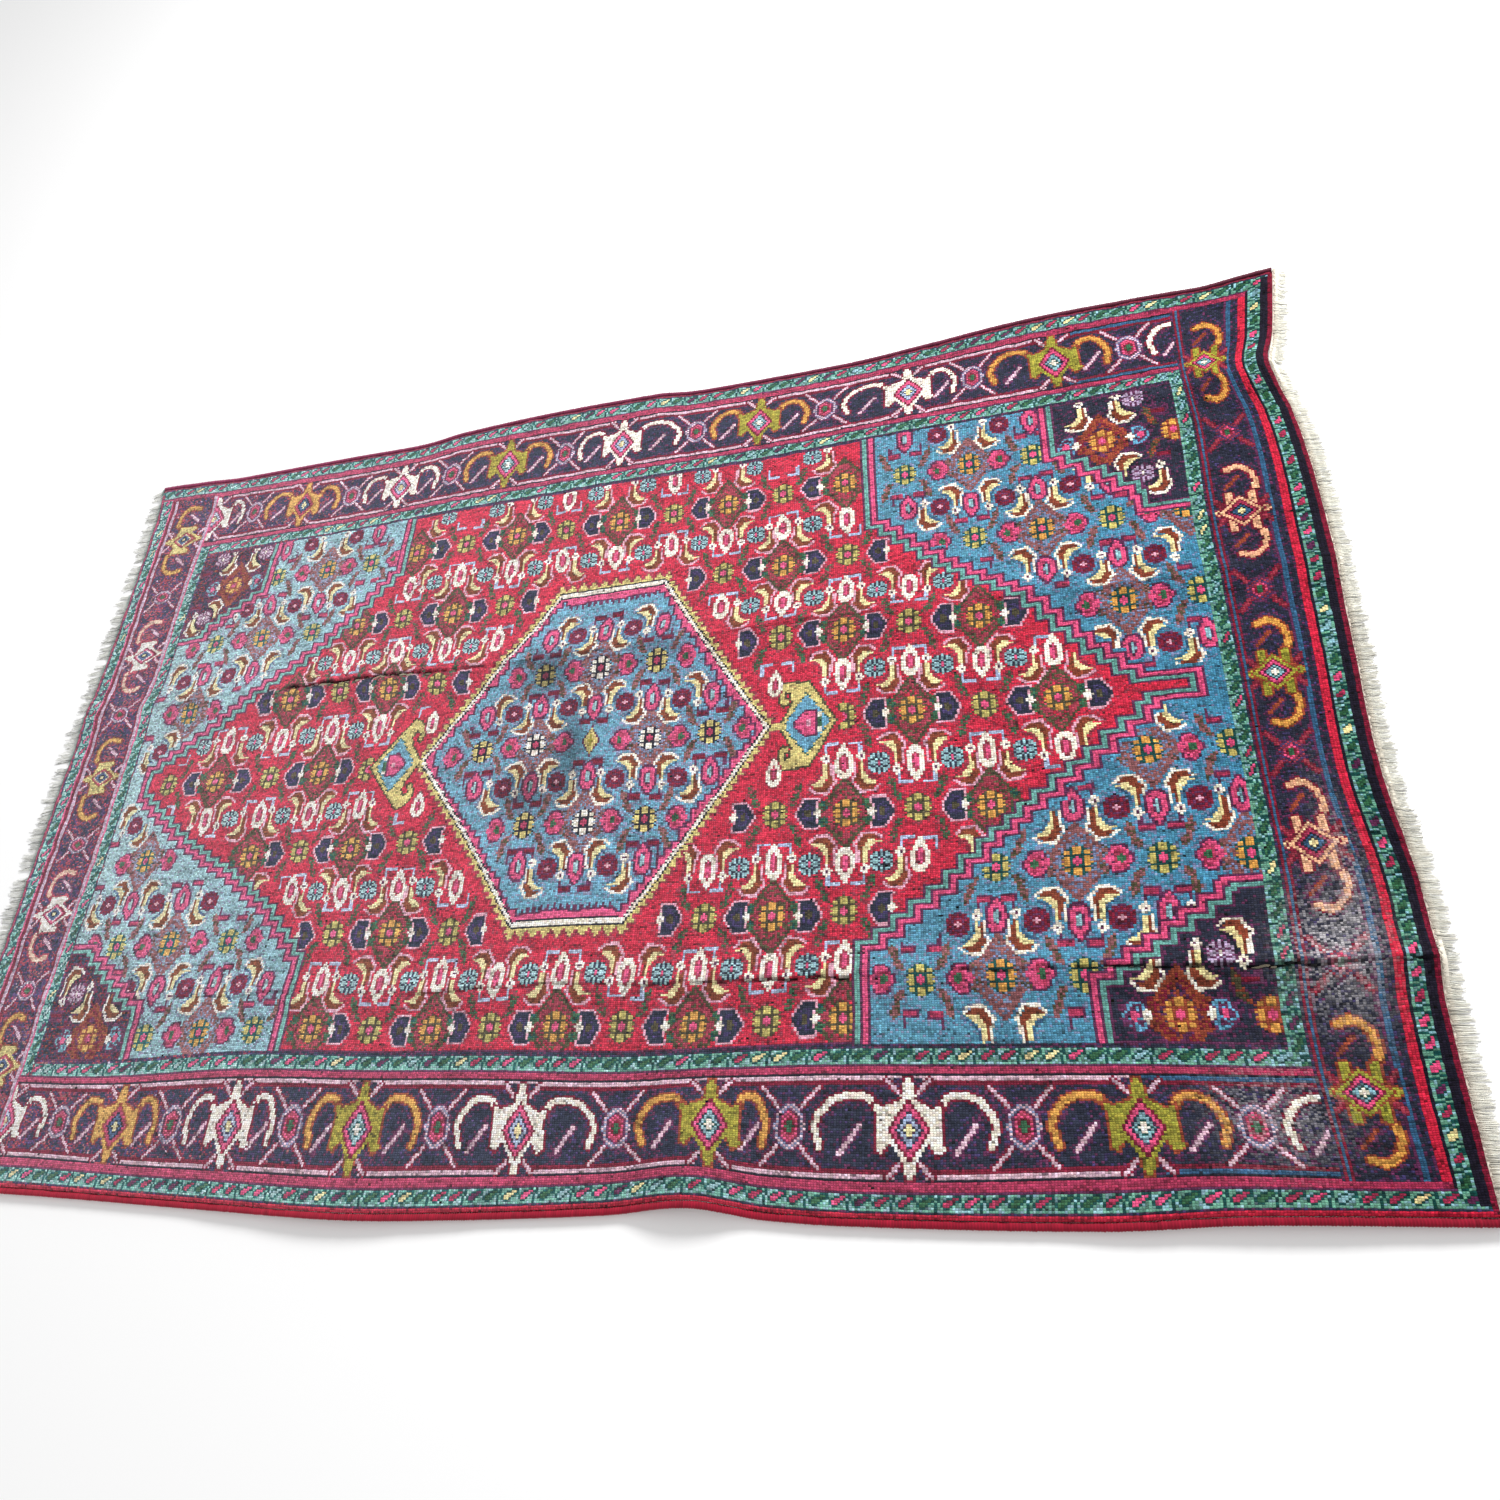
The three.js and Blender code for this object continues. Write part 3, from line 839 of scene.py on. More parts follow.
# The dyes of a motif's body, its edge, its arms and the lozenges in it
BORDER_DYES = {
    "ivory": ("ivory", "wine", "ivory", ("wine", "pink", "navy", "frost", "navy", "cream")),
    "gold": ("gold", "rust", "gold", ("rust", "rose", "ink", "steel", "ink", "cream")),
    "olive": ("olive", "rust", "gold", ("wine", "pink", "navy", "mist", "teal", "ivory")),
    "peach": ("peach", "wine", "peach", ("wine", "rose", "ink", "steel", "ink", "cream")),
    "khaki": ("khaki", "rust", "gold", ("rust", "rose", "cream", "steel", "ink", "cream")),
    "pale": ("ivory", "dusk", "peach", ("wine", "pink", "ivory", "steel", "ink", "cream")),
}
# How far the nested lozenges in a motif reach, along and across
NEST = ((7.3, 13.6), (6.3, 11.8), (4.7, 8.8), (3.9, 7.3), (2.5, 4.7), (1.7, 3.2))


def border_motif(place, kind, reaches, look):
    """a diamond with two curled arms; reaches are how far the arms go on both sides"""
    body, edge, arm_dye, nest = BORDER_DYES[kind]
    for end in (-1, 1):
        half = place.flipped(end)
        half.block(-5.4, 5.4, 16.4, 21, "navy")
        for side in (-1, 1):
            half.edged_line([(side * 7.4, 19.6), (side * 3.8, 14.8)], 1.4, look.arm, 2.6, "wine")
    for side, reach in zip((-1, 1), reaches):
        path = [(side * (ARM_FROM + share * (reach - ARM_FROM)), b) for share, b in ARM]
        place.line(path, 3.9, edge)
        middle = side * (ARM_FROM + 0.44 * (reach - ARM_FROM))
        place.edged_line([(middle - 3.4, -10.6), (middle + 3.4, 0.4)], 1.6, look.bar, 2.9, "plum")
        place.line(path, 2.3, arm_dye)
    for end in (-1, 1):
        place.flipped(end).outlined(SPIRE, body, edge, 1.8)
    for side, wing in ((-1, LEFT_WING), (1, RIGHT_WING)):
        if look.winged:
            place.outlined(wing, body, edge, 2)
            continue
        for shoulder in (8.4, -9.6):
            bend = [(side * 4.4, shoulder), (side * 10.8, shoulder + 1)]
            place.edged_line(bend, 2.8, body, 4.4, edge)
    if not look.winged:
        place.lozenge(0, -1, 10.2, 18.6, edge)
    place.lozenge(0, -1, 9.2, 17.1, body)
    for dye, (ra, rb) in zip(nest, NEST):
        place.lozenge(0, -1, ra, rb, dye)


def border_rosette(place, look):
    for side, end in FOUR_WAYS:
        place.edged_line([(side * 3.8, end * 7.6), (side * 10.4, end * 16.6)], 1.3, look.arm, 2.5, "wine")
    for ra, rb, dye, dots in (
        (6.3, 10.6, "plum", False), (5.6, 9.6, look.ring, False), (5.6, 9.6, look.arm, True),
        (4.2, 7.4, "plum", False), (3.4, 6.2, "pink", False), (3.4, 6.2, "dusk", True),
        (2.2, 4, "wine", False), (1.5, 2.8, "leaf", False),
    ):
        place.oval(0, 0, ra, rb, dye, dots)


# How the motifs look: with wings or with stubby shoulders, and the dyes of their bars, arms and rings
BRIGHT = SimpleNamespace(winged=True, bar="smoke", arm="smoke", ring="haze")
DULL = SimpleNamespace(winged=False, bar="rust", arm="dusk", ring="violet")


def border_row(make_place, motifs, rosettes, look=BRIGHT, longest=99):
    """motifs with their arms reaching towards the rosettes beside them, but no further than longest"""
    for at in rosettes:
        border_rosette(make_place(at), look)
    for at, kind in motifs:
        left = [at - r for r in rosettes if r < at]
        right = [r - at for r in rosettes if r > at]
        reaches = [min(longest, max(20, min(side, default=38) - 9)) for side in (left, right)]
        border_motif(make_place(at), kind, reaches, look)


FAR_MOTIFS = ((-274, "ivory"), (-207.5, "gold"), (-141, "ivory"), (-73, "olive"), (-3, "ivory"),
              (74, "olive"), (149, "ivory"), (221, "olive"), (290, "ivory"))
FAR_ROSETTES = (-245, -174, -108, -38, 39, 109, 181, 254)
NEAR_MOTIFS = ((-275, "ivory"), (-210, "gold"), (-147, "ivory"), (-84, "olive"), (-10.5, "ivory"),
               (69, "olive"), (141, "ivory"), (218, "olive"), (290, "ivory"))
NEAR_ROSETTES = (-242, -179, -116, -47, 31, 99, 179, 253)
LEFT_MOTIFS = ((206, "khaki"), (102, "pale"), (1, "khaki"), (-97, "pale"), (-191, "khaki"))
LEFT_ROSETTES = (154, 51, -48, -146)
RIGHT_MOTIFS = ((200, "olive"), (91, "peach"), (-8, "olive"), (-100, "peach"), (-207, "olive"))
RIGHT_ROSETTES = (146, 40, -54, -154)
END_GROW = (0.84, 0.66)
LEFT_WIDER = 1.14
END_ARM = 28


def borders():
    for side, motifs, rosettes in ((1, FAR_MOTIFS, FAR_ROSETTES), (-1, NEAR_MOTIFS, NEAR_ROSETTES)):
        side_border(side)
        border_row(lambda at: Place(at, side * SIDE_MAIN), motifs, rosettes)
    end_border(1, RIGHT_BANDS, RIGHT_FRAME_X)
    end_border(-1, LEFT_BANDS, LEFT_FRAME_X)
    scale = 1 / ASPECT * END_GROW[0]
    for x, outward, wider, look, motifs, rosettes in (
        (RIGHT_MAIN, 1, 1, DULL, RIGHT_MOTIFS, RIGHT_ROSETTES),
        (LEFT_MAIN, -1, LEFT_WIDER, BRIGHT, LEFT_MOTIFS, LEFT_ROSETTES),
    ):
        grow = (END_GROW[0], END_GROW[1] * wider)

        def make_place(at):
            return Place(x, at * scale, 1, outward, True, grow)

        centres = [(at / scale, kind) for at, kind in motifs]
        border_row(make_place, centres, [at / scale for at in rosettes], look, END_ARM)


WAVE_COUNT = 9


def waves(x, y, seed, reach, size):
    """a smooth unevenness of about size, with waves about reach long"""
    draw = np.random.default_rng(seed)
    total = np.zeros(np.broadcast(x, y).shape)
    for _ in range(WAVE_COUNT):
        angle = draw.uniform(0, 2 * math.pi)
        length = reach * draw.uniform(0.6, 1.7)
        phase = draw.uniform(0, 2 * math.pi)
        total += np.sin((x * math.cos(angle) + y * math.sin(angle)) * 2 * math.pi / length + phase)
    return total * size / math.sqrt(WAVE_COUNT / 2)


# Shares of other dyes that are scattered over the navy ground of the borders and the corners
BORDER_HALO = 0.26
BORDER_SPECKLE = (("violet", 0.1), ("plum", 0.03))
LEFT_SPECKLE = (("dusk", 0.3), ("umber", 0.16), ("violet", 0.26), ("lilac", 0.02))
LEFT_DARK_SPECKLE = (("wine", 0.24), ("rust", 0.14), ("ink", 0.34))


def pendant_room():
    """where the pendants, their horns and the buds are tied, so that the repeat stays clear of them"""
    x, y = np.abs(GRID_X), np.abs(GRID_Y - PENDANT_Y)
    room = np.abs(x - PENDANT_X) / 16 + y / 28 < 1
    room |= (np.abs(x - HORN_X) < 7.4) & (y < 32)
    for bud_x, bud_y in BUDS:
        room |= (np.abs(GRID_X - bud_x) < 6) & (np.abs(GRID_Y - bud_y) < 12)
    return room


def draw_field():
    field = zone_of([(-FIELD_X, -FIELD_Y), (FIELD_X, -FIELD_Y), (FIELD_X, FIELD_Y), (-FIELD_X, FIELD_Y)])
    hexagon = zone_of(HEXAGON)
    core = shrunk(hexagon, 3, 4) & field
    blue = field & ~grown(hexagon & field, 4, 5)
    tie(field, "sky")
    near_right = blue & (GRID_X > 0) & (GRID_Y < PENDANT_Y)
    herati("blue", blue & ~near_right)
    herati("blue", near_right, first_row=FIRST_ROW + NEAR_RIGHT_SHIFT)
    far, _, _ = medallion_distance()
    tie(core, "red")
    herati("red", core & (far > MEDALLION_ROOM) & ~pendant_room())
    band_outwards(core, BAND_DYES, field)
    for corner in CORNERS:
        inner = shrunk(zone_of(corner), 3, 4)
        herati("dark", inner & field)
        for dye, share in LEFT_DARK_SPECKLE:
            speckle(inner & (GRID_X < 0), "navy", dye, share)
        band_outwards(inner, BAND_DYES, field)
    medallion()
    pendant(-103.5, -10.5, 1, LEFT_PENDANT)
    pendant(102.5, -12, -1, RIGHT_PENDANT)
    for x, y in BUDS:
        bud(x, y)
    return field


def draw_chart():
    field = draw_field()
    borders()
    motifs = grown(~field & (chart != INDEX["navy"]), *HALO)
    speckle(motifs & ~field, "navy", "plum", BORDER_HALO)
    for dye, share in BORDER_SPECKLE:
        speckle(~field, "navy", dye, share)
    leftwards = np.clip(-GRID_X / (COLUMNS / 2) * 1.6 - 0.5, 0, 1)
    for number, (dye, share) in enumerate(LEFT_SPECKLE):
        patches = np.clip(1 + waves(GRID_X, GRID_Y, 90 + number, 20, 0.8), 0, 2.4)
        speckle(~field, "navy", dye, share * patches * leftwards)


draw_chart()


# Meshes. Every mesh is made of quads. Points are given in millimetres from the middle of the rug.
def place_in_frame(points):
    return (points + np.array([*RUG_MIDDLE, 0])) * MM


def new_piece(name, points, quads, node, material):
    """a mesh of quads that stands for a node of the solids"""
    mesh = bpy.data.meshes.new(name)
    mesh.vertices.add(len(points))
    mesh.vertices.foreach_set("co", place_in_frame(points).astype(np.float32).ravel())
    mesh.loops.add(quads.size)
    mesh.loops.foreach_set("vertex_index", quads.astype(np.int32).ravel())
    mesh.polygons.add(len(quads))
    mesh.polygons.foreach_set("loop_start", np.arange(0, quads.size, 4, dtype=np.int32))
    mesh.polygons.foreach_set("use_smooth", np.ones(len(quads), bool))
    mesh.update(calc_edges=True)
    mesh.materials.append(material)
    piece = bpy.data.objects.new(name, mesh)
    bpy.context.scene.collection.objects.link(piece)
    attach(piece, "root")
    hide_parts(node)
    return piece


def lattice(across, around, first=0, closed=False):
    """the quads of a grid of points, laid out row by row; closed joins the last column to the first"""
    i = np.arange(across - 1)[:, None]
    j = np.arange(around if closed else around - 1)[None, :]
    after = (j + 1) % around
    corners = (i * around + j, i * around + after, (i + 1) * around + after, (i + 1) * around + j)
    return np.stack(np.broadcast_arrays(*corners), axis=-1).reshape(-1, 4) + first


def set_map(piece, name, u, v):
    """a UV map from the four corners of every face"""
    layer = piece.data.uv_layers.new(name=name, do_init=False)
    layer.data.foreach_set("uv", np.stack([u, v], axis=-1).astype(np.float32).ravel())


def set_dye(piece, colours):
    """paints every face in its own linear colour"""
    alpha = np.ones((len(colours), 1))
    attribute = piece.data.attributes.new("dye", "FLOAT_COLOR", "FACE")
    attribute.data.foreach_set("color", np.hstack([colours, alpha]).astype(np.float32).ravel())


def linear(srgb):
    """sRGB from 0 to 255 as linear light"""
    share = np.clip(np.asarray(srgb, float) / 255, 0, 1)
    return np.where(share <= 0.04045, share / 12.92, ((share + 0.055) / 1.055) ** 2.4)


# Materials
def new_material(name, roughness, sheen):
    """a cloth that takes its colour from the dye of each face"""
    material = bpy.data.materials.new(name)
    material.use_nodes = True
    nodes = material.node_tree.nodes
    shader = nodes["Principled BSDF"]
    shader.inputs["Roughness"].default_value = roughness
    shader.inputs["Sheen Weight"].default_value = sheen
    shader.inputs["Sheen Roughness"].default_value = 0.6
    shader.inputs["Specular IOR Level"].default_value = 0.08
    return material, material.node_tree, shader


def new_node(tree, kind, settings=(), inputs=()):
    node = tree.nodes.new(kind)
    for name, value in dict(settings).items():
        setattr(node, name, value)
    for name, value in dict(inputs).items():
        node.inputs[name].default_value = value
    return node


def noise(tree, scale, detail, roughness):
    """fine noise in metres of the object itself"""
    place = new_node(tree, "ShaderNodeTexCoord")
    settings = {"Scale": scale, "Detail": detail, "Roughness": roughness}
    texture = new_node(tree, "ShaderNodeTexNoise", inputs=settings)
    tree.links.new(place.outputs["Object"], texture.inputs["Vector"])
    return texture.outputs["Fac"]


def math_node(tree, operation, *values):
    """one step of arithmetic on numbers and sockets"""
    node = new_node(tree, "ShaderNodeMath", {"operation": operation})
    for socket, value in zip(node.inputs, values):
        if isinstance(value, (int, float)):
            socket.default_value = value
        else:
            tree.links.new(value, socket)
    return node.outputs[0]


def shaded_dye(tree, factor):
    """the dye of the face, brighter or darker by a factor"""
    dye = new_node(tree, "ShaderNodeAttribute", {"attribute_name": "dye"})
    shade = new_node(tree, "ShaderNodeVectorMath", {"operation": "SCALE"})
    tree.links.new(dye.outputs["Color"], shade.inputs[0])
    tree.links.new(factor, shade.inputs["Scale"])
    return shade.outputs[0]


def bump(tree, height, distance, strength):
    node = new_node(tree, "ShaderNodeBump", inputs={"Distance": distance, "Strength": strength})
    tree.links.new(height, node.inputs["Height"])
    return node.outputs["Normal"]


def tuft_height(tree):
    """1 in the middle of each knot, 0 between knots, from the map that counts the knots"""
    counted = new_node(tree, "ShaderNodeUVMap", {"uv_map": "Knots"})
    split = new_node(tree, "ShaderNodeSeparateXYZ")
    tree.links.new(counted.outputs[0], split.inputs[0])
    arcs = []
    for axis in ("X", "Y"):
        turned = math_node(tree, "MULTIPLY", split.outputs[axis], math.pi)
        arcs.append(math_node(tree, "ABSOLUTE", math_node(tree, "SINE", turned)))
    return math_node(tree, "POWER", math_node(tree, "MULTIPLY", *arcs), 0.5)


# How much the fibres, the blotches and the tufts brighten the dye of the pile, and what is left without them
FIBRE_SHADE = (1.4, 0.32)
BLOTCH_SHADE = (0.24, 0.88)
# The tufts' part is painted shade: darker between the knots, lighter in the middle of each tuft
TUFT_SHADE = (0.46, 0.64)
PILE_BUMP = 0.0014
YARN_BUMP = 0.0006


def pile_material():
    material, tree, shader = new_material("wool pile", 0.9, 0.01)
    fibres = noise(tree, 800, 3, 0.75)
    blotches = noise(tree, 70, 3, 0.6)
    tuft = tuft_height(tree)
    shade = math_node(tree, "MULTIPLY_ADD", fibres, *FIBRE_SHADE)
    soft = math_node(tree, "MULTIPLY_ADD", blotches, *BLOTCH_SHADE)
    # painted shade between the knots
    edge = math_node(tree, "MULTIPLY_ADD", tuft, *TUFT_SHADE)
    factor = math_node(tree, "MULTIPLY", math_node(tree, "MULTIPLY", shade, soft), edge)
    tree.links.new(shaded_dye(tree, factor), shader.inputs["Base Color"])
    height = math_node(tree, "ADD", math_node(tree, "MULTIPLY", tuft, 0.6), fibres)
    tree.links.new(bump(tree, height, PILE_BUMP, 0.9), shader.inputs["Normal"])
    return material


def yarn_material(name, strength):
    """wound or spun yarn: the dye of the face, with fine fibres"""
    material, tree, shader = new_material(name, 0.8, 0.1)
    fibres = noise(tree, 1400, 3, 0.7)
    blotches = noise(tree, 120, 2, 0.5)
    parts = [math_node(tree, "MULTIPLY", part, 0.4) for part in (fibres, blotches)]
    factor = math_node(tree, "ADD", math_node(tree, "ADD", *parts), 0.6)
    tree.links.new(shaded_dye(tree, factor), shader.inputs["Base Color"])
    tree.links.new(bump(tree, fibres, YARN_BUMP, strength), shader.inputs["Normal"])
    return material


# Colour of every knot
def paleness(x):
    """0 at the left-hand end, 1 at the right-hand end"""
    return np.clip((x + HALF_LENGTH) / PILE_LENGTH, 0, 1)[..., None]


# How much the light of single knots and of rows differs, the tint of a knot, and the streaks along a row
KNOT_JITTER = 0.27
ROW_JITTER = 0.03
TINT_JITTER = 0.035
STREAK = 0.12
STREAK_KNOTS = 7
# Dark soft spots: x, y, reach along and across, how much darker
SHADE_SPOTS = (
    (-88, 112, 38, 42, 0.66),
    (-30, -40, 28, 84, 0.62),
    (-105, -108, 50, 40, 0.56),
    (94, 130, 52, 30, 0.3),
)
# Painted sheen, white glints on the pile: x, y, reach along and across, how much of the sheen shows
SHEEN_SPOTS = (
    (955, -385, 45, 62, 0.24),
    (868, -565, 60, 50, 0.14),
    (985, -330, 20, 120, 0.14),
)
SHEEN_COLOUR = np.array((0.8, 0.76, 0.78))
# How far the dyes are faded, and hazed with painted sheen, at the left-hand end, and towards what
FADE_AND_SHEEN = 0.09
FADE_AND_SHEEN_COLOUR = np.array((0.52, 0.6, 0.62))
BRIGHTEST = 0.96
YARN_BRIGHTEST = 0.95


def bell(x, y, spot):
    """1 in the middle of a spot, falling to 0 around it"""
    at_x, at_y, along, across, _ = spot
    return np.exp(-((x - at_x) / along) ** 2 - ((y - at_y) / across) ** 2)


def streaks(draw, shape):
    """an unevenness that runs along the rows of knots"""
    rough = draw.normal(0, 1, (shape[0], shape[1] + STREAK_KNOTS - 1))
    total = np.cumsum(np.pad(rough, ((0, 0), (1, 0))), axis=1)
    return (total[:, STREAK_KNOTS:] - total[:, :-STREAK_KNOTS]) / math.sqrt(STREAK_KNOTS)


def knot_colours(knots, x, y, seed):
    """linear colours of the knots of a chart"""
    draw = np.random.default_rng(seed)
    # pale to deep along the length: partly abrash, partly painted sheen
    pale, deep = (np.array(dyes, float)[knots] for dyes in zip(*DYES.values()))
    share = paleness(x)
    colours = linear(pale * (1 - share) + deep * share)
    light = 1 + draw.normal(0, KNOT_JITTER, knots.shape) + draw.normal(0, ROW_JITTER, (knots.shape[0], 1))
    light = light + STREAK * streaks(draw, knots.shape)
    light = light + waves(x, y, seed + 1, 160, 0.03) + waves(x, y * 6, seed + 2, 300, 0.02)
    for spot in SHADE_SPOTS:
        light = light * (1 - spot[-1] * bell(x, y, spot))
    tint = 1 + draw.normal(0, TINT_JITTER, knots.shape + (3,))
    colours = colours * light[..., None] * tint
    # partly real fading, partly painted sheen: the left-hand end is mixed towards a pale grey-blue
    fade_and_sheen = FADE_AND_SHEEN * (1 - share)
    colours = colours * (1 - fade_and_sheen) + FADE_AND_SHEEN_COLOUR * fade_and_sheen
    # painted sheen: white glints scattered over the knots round each sheen spot
    for spot in SHEEN_SPOTS:
        glint = spot[-1] * bell(x, y, spot)
        glint = (glint * 3 * draw.random(knots.shape) ** 2)[..., None]
        colours = colours * (1 - glint) + SHEEN_COLOUR * glint
    return np.clip(colours, 0, BRIGHTEST)


# The pile
PILE_STRIPS = 8
SKIRT_HEIGHT = 1.2
EDGE_ROUND = (2.4, 0.8)
TUFT_RELIEF = 0.36
PILE_RELIEF = 0.5
TUFT_MARGIN = 0.6
DARK_SINK = 0.45
WOBBLE = 2.2
WOBBLE_FREE = 60
POINT_JITTER = (0.22, 0.2)
DARK_DYES = ("ink", "wine", "plum", "moss", "teal", "rust", "navy")
# Creases: y, depth, reach, and how much of the depth shows at places along the length
CREASES = (
    (138, 6, 3.8, ((-1057, 0.4), (-700, 0.5), (-560, 1.1), (-330, 1.2), (-210, 0.5), (0, 0.2), (260, 0.4),
                   (700, 0.25), (1057, 0.25))),
    (-400, 5, 2.6, ((-1057, 0.3), (-500, 0.45), (0, 0.6), (500, 0.95), (1057, 1.1))),
)
# Painted shade in the creases: how much darker a knot gets for each millimetre of the crease's depth
CREASE_SHADE = 0.23


def crease_depth(u, v):
    """how deep the pile splits along the two long creases"""
    depth = np.zeros(np.broadcast(u, v).shape)
    for at, deep, width, along in CREASES:
        seed = abs(at)
        path = at + waves(u, 0 * v, seed, 260, 1.4) + waves(u, 0 * v, seed + 2, 24, 0.9)
        broken = 0.66 + waves(u, 0 * v, seed + 1, 150, 0.24)
        broken = np.clip(broken + waves(u, 0 * v, seed + 3, 20, 0.26), 0.05, 1)
        share = np.interp(u, *zip(*along))
        depth += deep * share * broken * np.exp(-np.abs((v - path) / width) ** 1.5)
    return depth


def from_ends(count):
    """how many steps each of the points along a side of count knots stands from the nearer end"""
    numbers = np.arange(count + 1)
    return np.minimum(numbers, count - numbers)


def pile_grid():
    """the points of the pile, with a ring that goes down round its edge"""
    u = np.linspace(-HALF_LENGTH, HALF_LENGTH, COLUMNS + 1)[None, :]
    v = np.linspace(-HALF_WIDTH, HALF_WIDTH, ROWS + 1)[:, None]
    u, v = np.broadcast_arrays(u, v)
    inside = np.minimum(HALF_LENGTH - np.abs(u), HALF_WIDTH - np.abs(v))
    free = np.clip(inside / WOBBLE_FREE, 0, 1)
    draw = np.random.default_rng(5)
    jitter = np.clip(inside / KNOT_X, 0, 1)
    du = waves(u, v, 21, 420, WOBBLE) * free + draw.normal(0, POINT_JITTER[0], u.shape) * jitter
    dv = waves(u, v, 22, 420, WOBBLE) * free + draw.normal(0, POINT_JITTER[1], u.shape) * jitter
    sunk = np.isin(chart, [INDEX[name] for name in DARK_DYES]) * DARK_SINK
    padded = np.pad(sunk, 1, mode="edge")
    corner_sink = (padded[:-1, :-1] + padded[1:, :-1] + padded[:-1, 1:] + padded[1:, 1:]) / 4
    height = PILE_THICKNESS - TUFT_MARGIN - corner_sink + draw.normal(0, TUFT_RELIEF, u.shape)
    height = height + waves(u, v, 23, 34, PILE_RELIEF) - crease_depth(u, v)
    steps = np.minimum(from_ends(COLUMNS)[None, :], from_ends(ROWS)[:, None])
    for step, drop in enumerate(EDGE_ROUND):
        height = height - drop * (steps == step)
    height = np.pad(np.minimum(height, PILE_THICKNESS + TUFT_MARGIN), 1, constant_values=SKIRT_HEIGHT)
    return laid(np.pad(u + du, 1, mode="edge"), np.pad(v + dv, 1, mode="edge"), height)


def make_pile(material):
    points = pile_grid()
    knots = np.pad(chart, 1, mode="edge")
    x = np.pad(KNOTS_X, 1, mode="edge")[None, :] * KNOT_X
    y = np.pad(KNOTS_Y, 1, mode="edge")[:, None] * KNOT_Y
    x, y = np.broadcast_arrays(x, y)
    # painted shade: the knots darken where the pile splits along the creases
    crease_shading = np.clip(crease_depth(x, y), 0, 4)[..., None]
    colours = knot_colours(knots, x, y, 31) * (1 - CREASE_SHADE * crease_shading)
    rows = [round(i * knots.shape[0] / PILE_STRIPS) for i in range(PILE_STRIPS + 1)]
    strips = []
    for number, (low, high) in enumerate(zip(rows, rows[1:]), 1):
        part = points[low:high + 1]
        strip = new_piece(f"pile_strip_{number}", part.reshape(-1, 3), lattice(*part.shape[:2]),
                          "rug_pile", material)
        set_dye(strip, colours[low:high].reshape(-1, 3))
        map_pile(strip, high - low, knots.shape[1])
        strips.append(strip)
    return strips


BAKE_FOLDS = 3
BAKE_MARGIN = 0.006


def map_pile(strip, rows, columns):
    """one map that counts knots, and one that folds the long strip into a square for baking"""
    row, column = np.indices((rows, columns))
    corner_column = np.stack([column, column + 1, column + 1, column], axis=-1).reshape(-1)
    corner_row = np.stack([row, row, row + 1, row + 1], axis=-1).reshape(-1)
    set_map(strip, "Knots", corner_column, corner_row)
    length = math.ceil(columns / BAKE_FOLDS)
    fold = np.repeat((column // length).reshape(-1), 4)
    across = BAKE_MARGIN + (corner_column / length - fold) * (1 - 2 * BAKE_MARGIN)
    margin = BAKE_MARGIN * BAKE_FOLDS
    up = (fold + margin + corner_row / rows * (1 - 2 * margin)) / BAKE_FOLDS
    set_map(strip, "OFBake", across, up)
    strip.data.uv_layers.active = strip.data.uv_layers["OFBake"]


# The foundation: cotton warps and wefts under the pile, a thin closed sheet; the knots show on its underside
FOUNDATION_STEP = 3
FOUNDATION_THICKNESS = 4.5
FOUNDATION_INSET = 0.8
COTTON = (196, 184, 160)


def make_foundation(material):
    columns = COLUMNS // FOUNDATION_STEP
    rows = ROWS // FOUNDATION_STEP
    end, side = HALF_LENGTH - FOUNDATION_INSET, HALF_WIDTH - FOUNDATION_INSET
    u, v = np.meshgrid(np.linspace(-end, end, columns + 1), np.linspace(-side, side, rows + 1))
    under = laid(u, v, 0).reshape(-1, 3)
    upper = laid(u, v, FOUNDATION_THICKNESS).reshape(-1, 3)
    count = len(under)
    grid = lattice(rows + 1, columns + 1)
    numbers = np.arange(count).reshape(rows + 1, columns + 1)
    rim = np.concatenate([numbers[0, :-1], numbers[:-1, -1], numbers[-1, :0:-1], numbers[:0:-1, 0]])
    after = np.roll(rim, -1)
    wall = np.stack([rim, after, after + count, rim + count], axis=-1)
    quads = np.concatenate([grid[:, ::-1], grid + count, wall])
    piece = new_piece("rug_foundation", np.concatenate([under, upper]), quads, "rug_pile", material)
    half = FOUNDATION_STEP // 2
    knots = chart[half::FOUNDATION_STEP, half::FOUNDATION_STEP][:rows, :columns]
    x = (u[:-1, :-1] + u[1:, 1:]) / 2
    y = (v[:-1, :-1] + v[1:, 1:]) / 2
    colours = knot_colours(knots, x, y, 41).reshape(-1, 3)
    cotton = linear(COTTON)
    back = colours * 0.8 + cotton * 0.2
    # painted shade: the top under the pile and the sides in cotton at half its brightness
    plain = np.broadcast_to(cotton * 0.5, (len(quads) - len(grid), 3))
    set_dye(piece, np.concatenate([back, plain]))
    return piece


# Side edges: red wool wound round the outer warps
WRAP = 3.4
RINGS_PER_WRAP = 3
SECTION_POINTS = 10
WRAP_DEPTH = 0.55
WRAP_SLANT = 0.8
SECTION_SQUARE = 0.82


def section(turn, half_width, half_height):
    """a rounded section, a little squarer than an oval"""
    cos, sin = np.cos(turn), np.sin(turn)
    across = np.sign(cos) * np.abs(cos) ** SECTION_SQUARE * half_width
    return across, np.sign(sin) * np.abs(sin) ** SECTION_SQUARE * half_height


def section_end(first):
    """the quads that close a section, from the number of its first point"""
    last = first + SECTION_POINTS - 1
    return [[first + k, first + k + 1, last - 1 - k, last - k] for k in range(SECTION_POINTS // 2 - 1)]


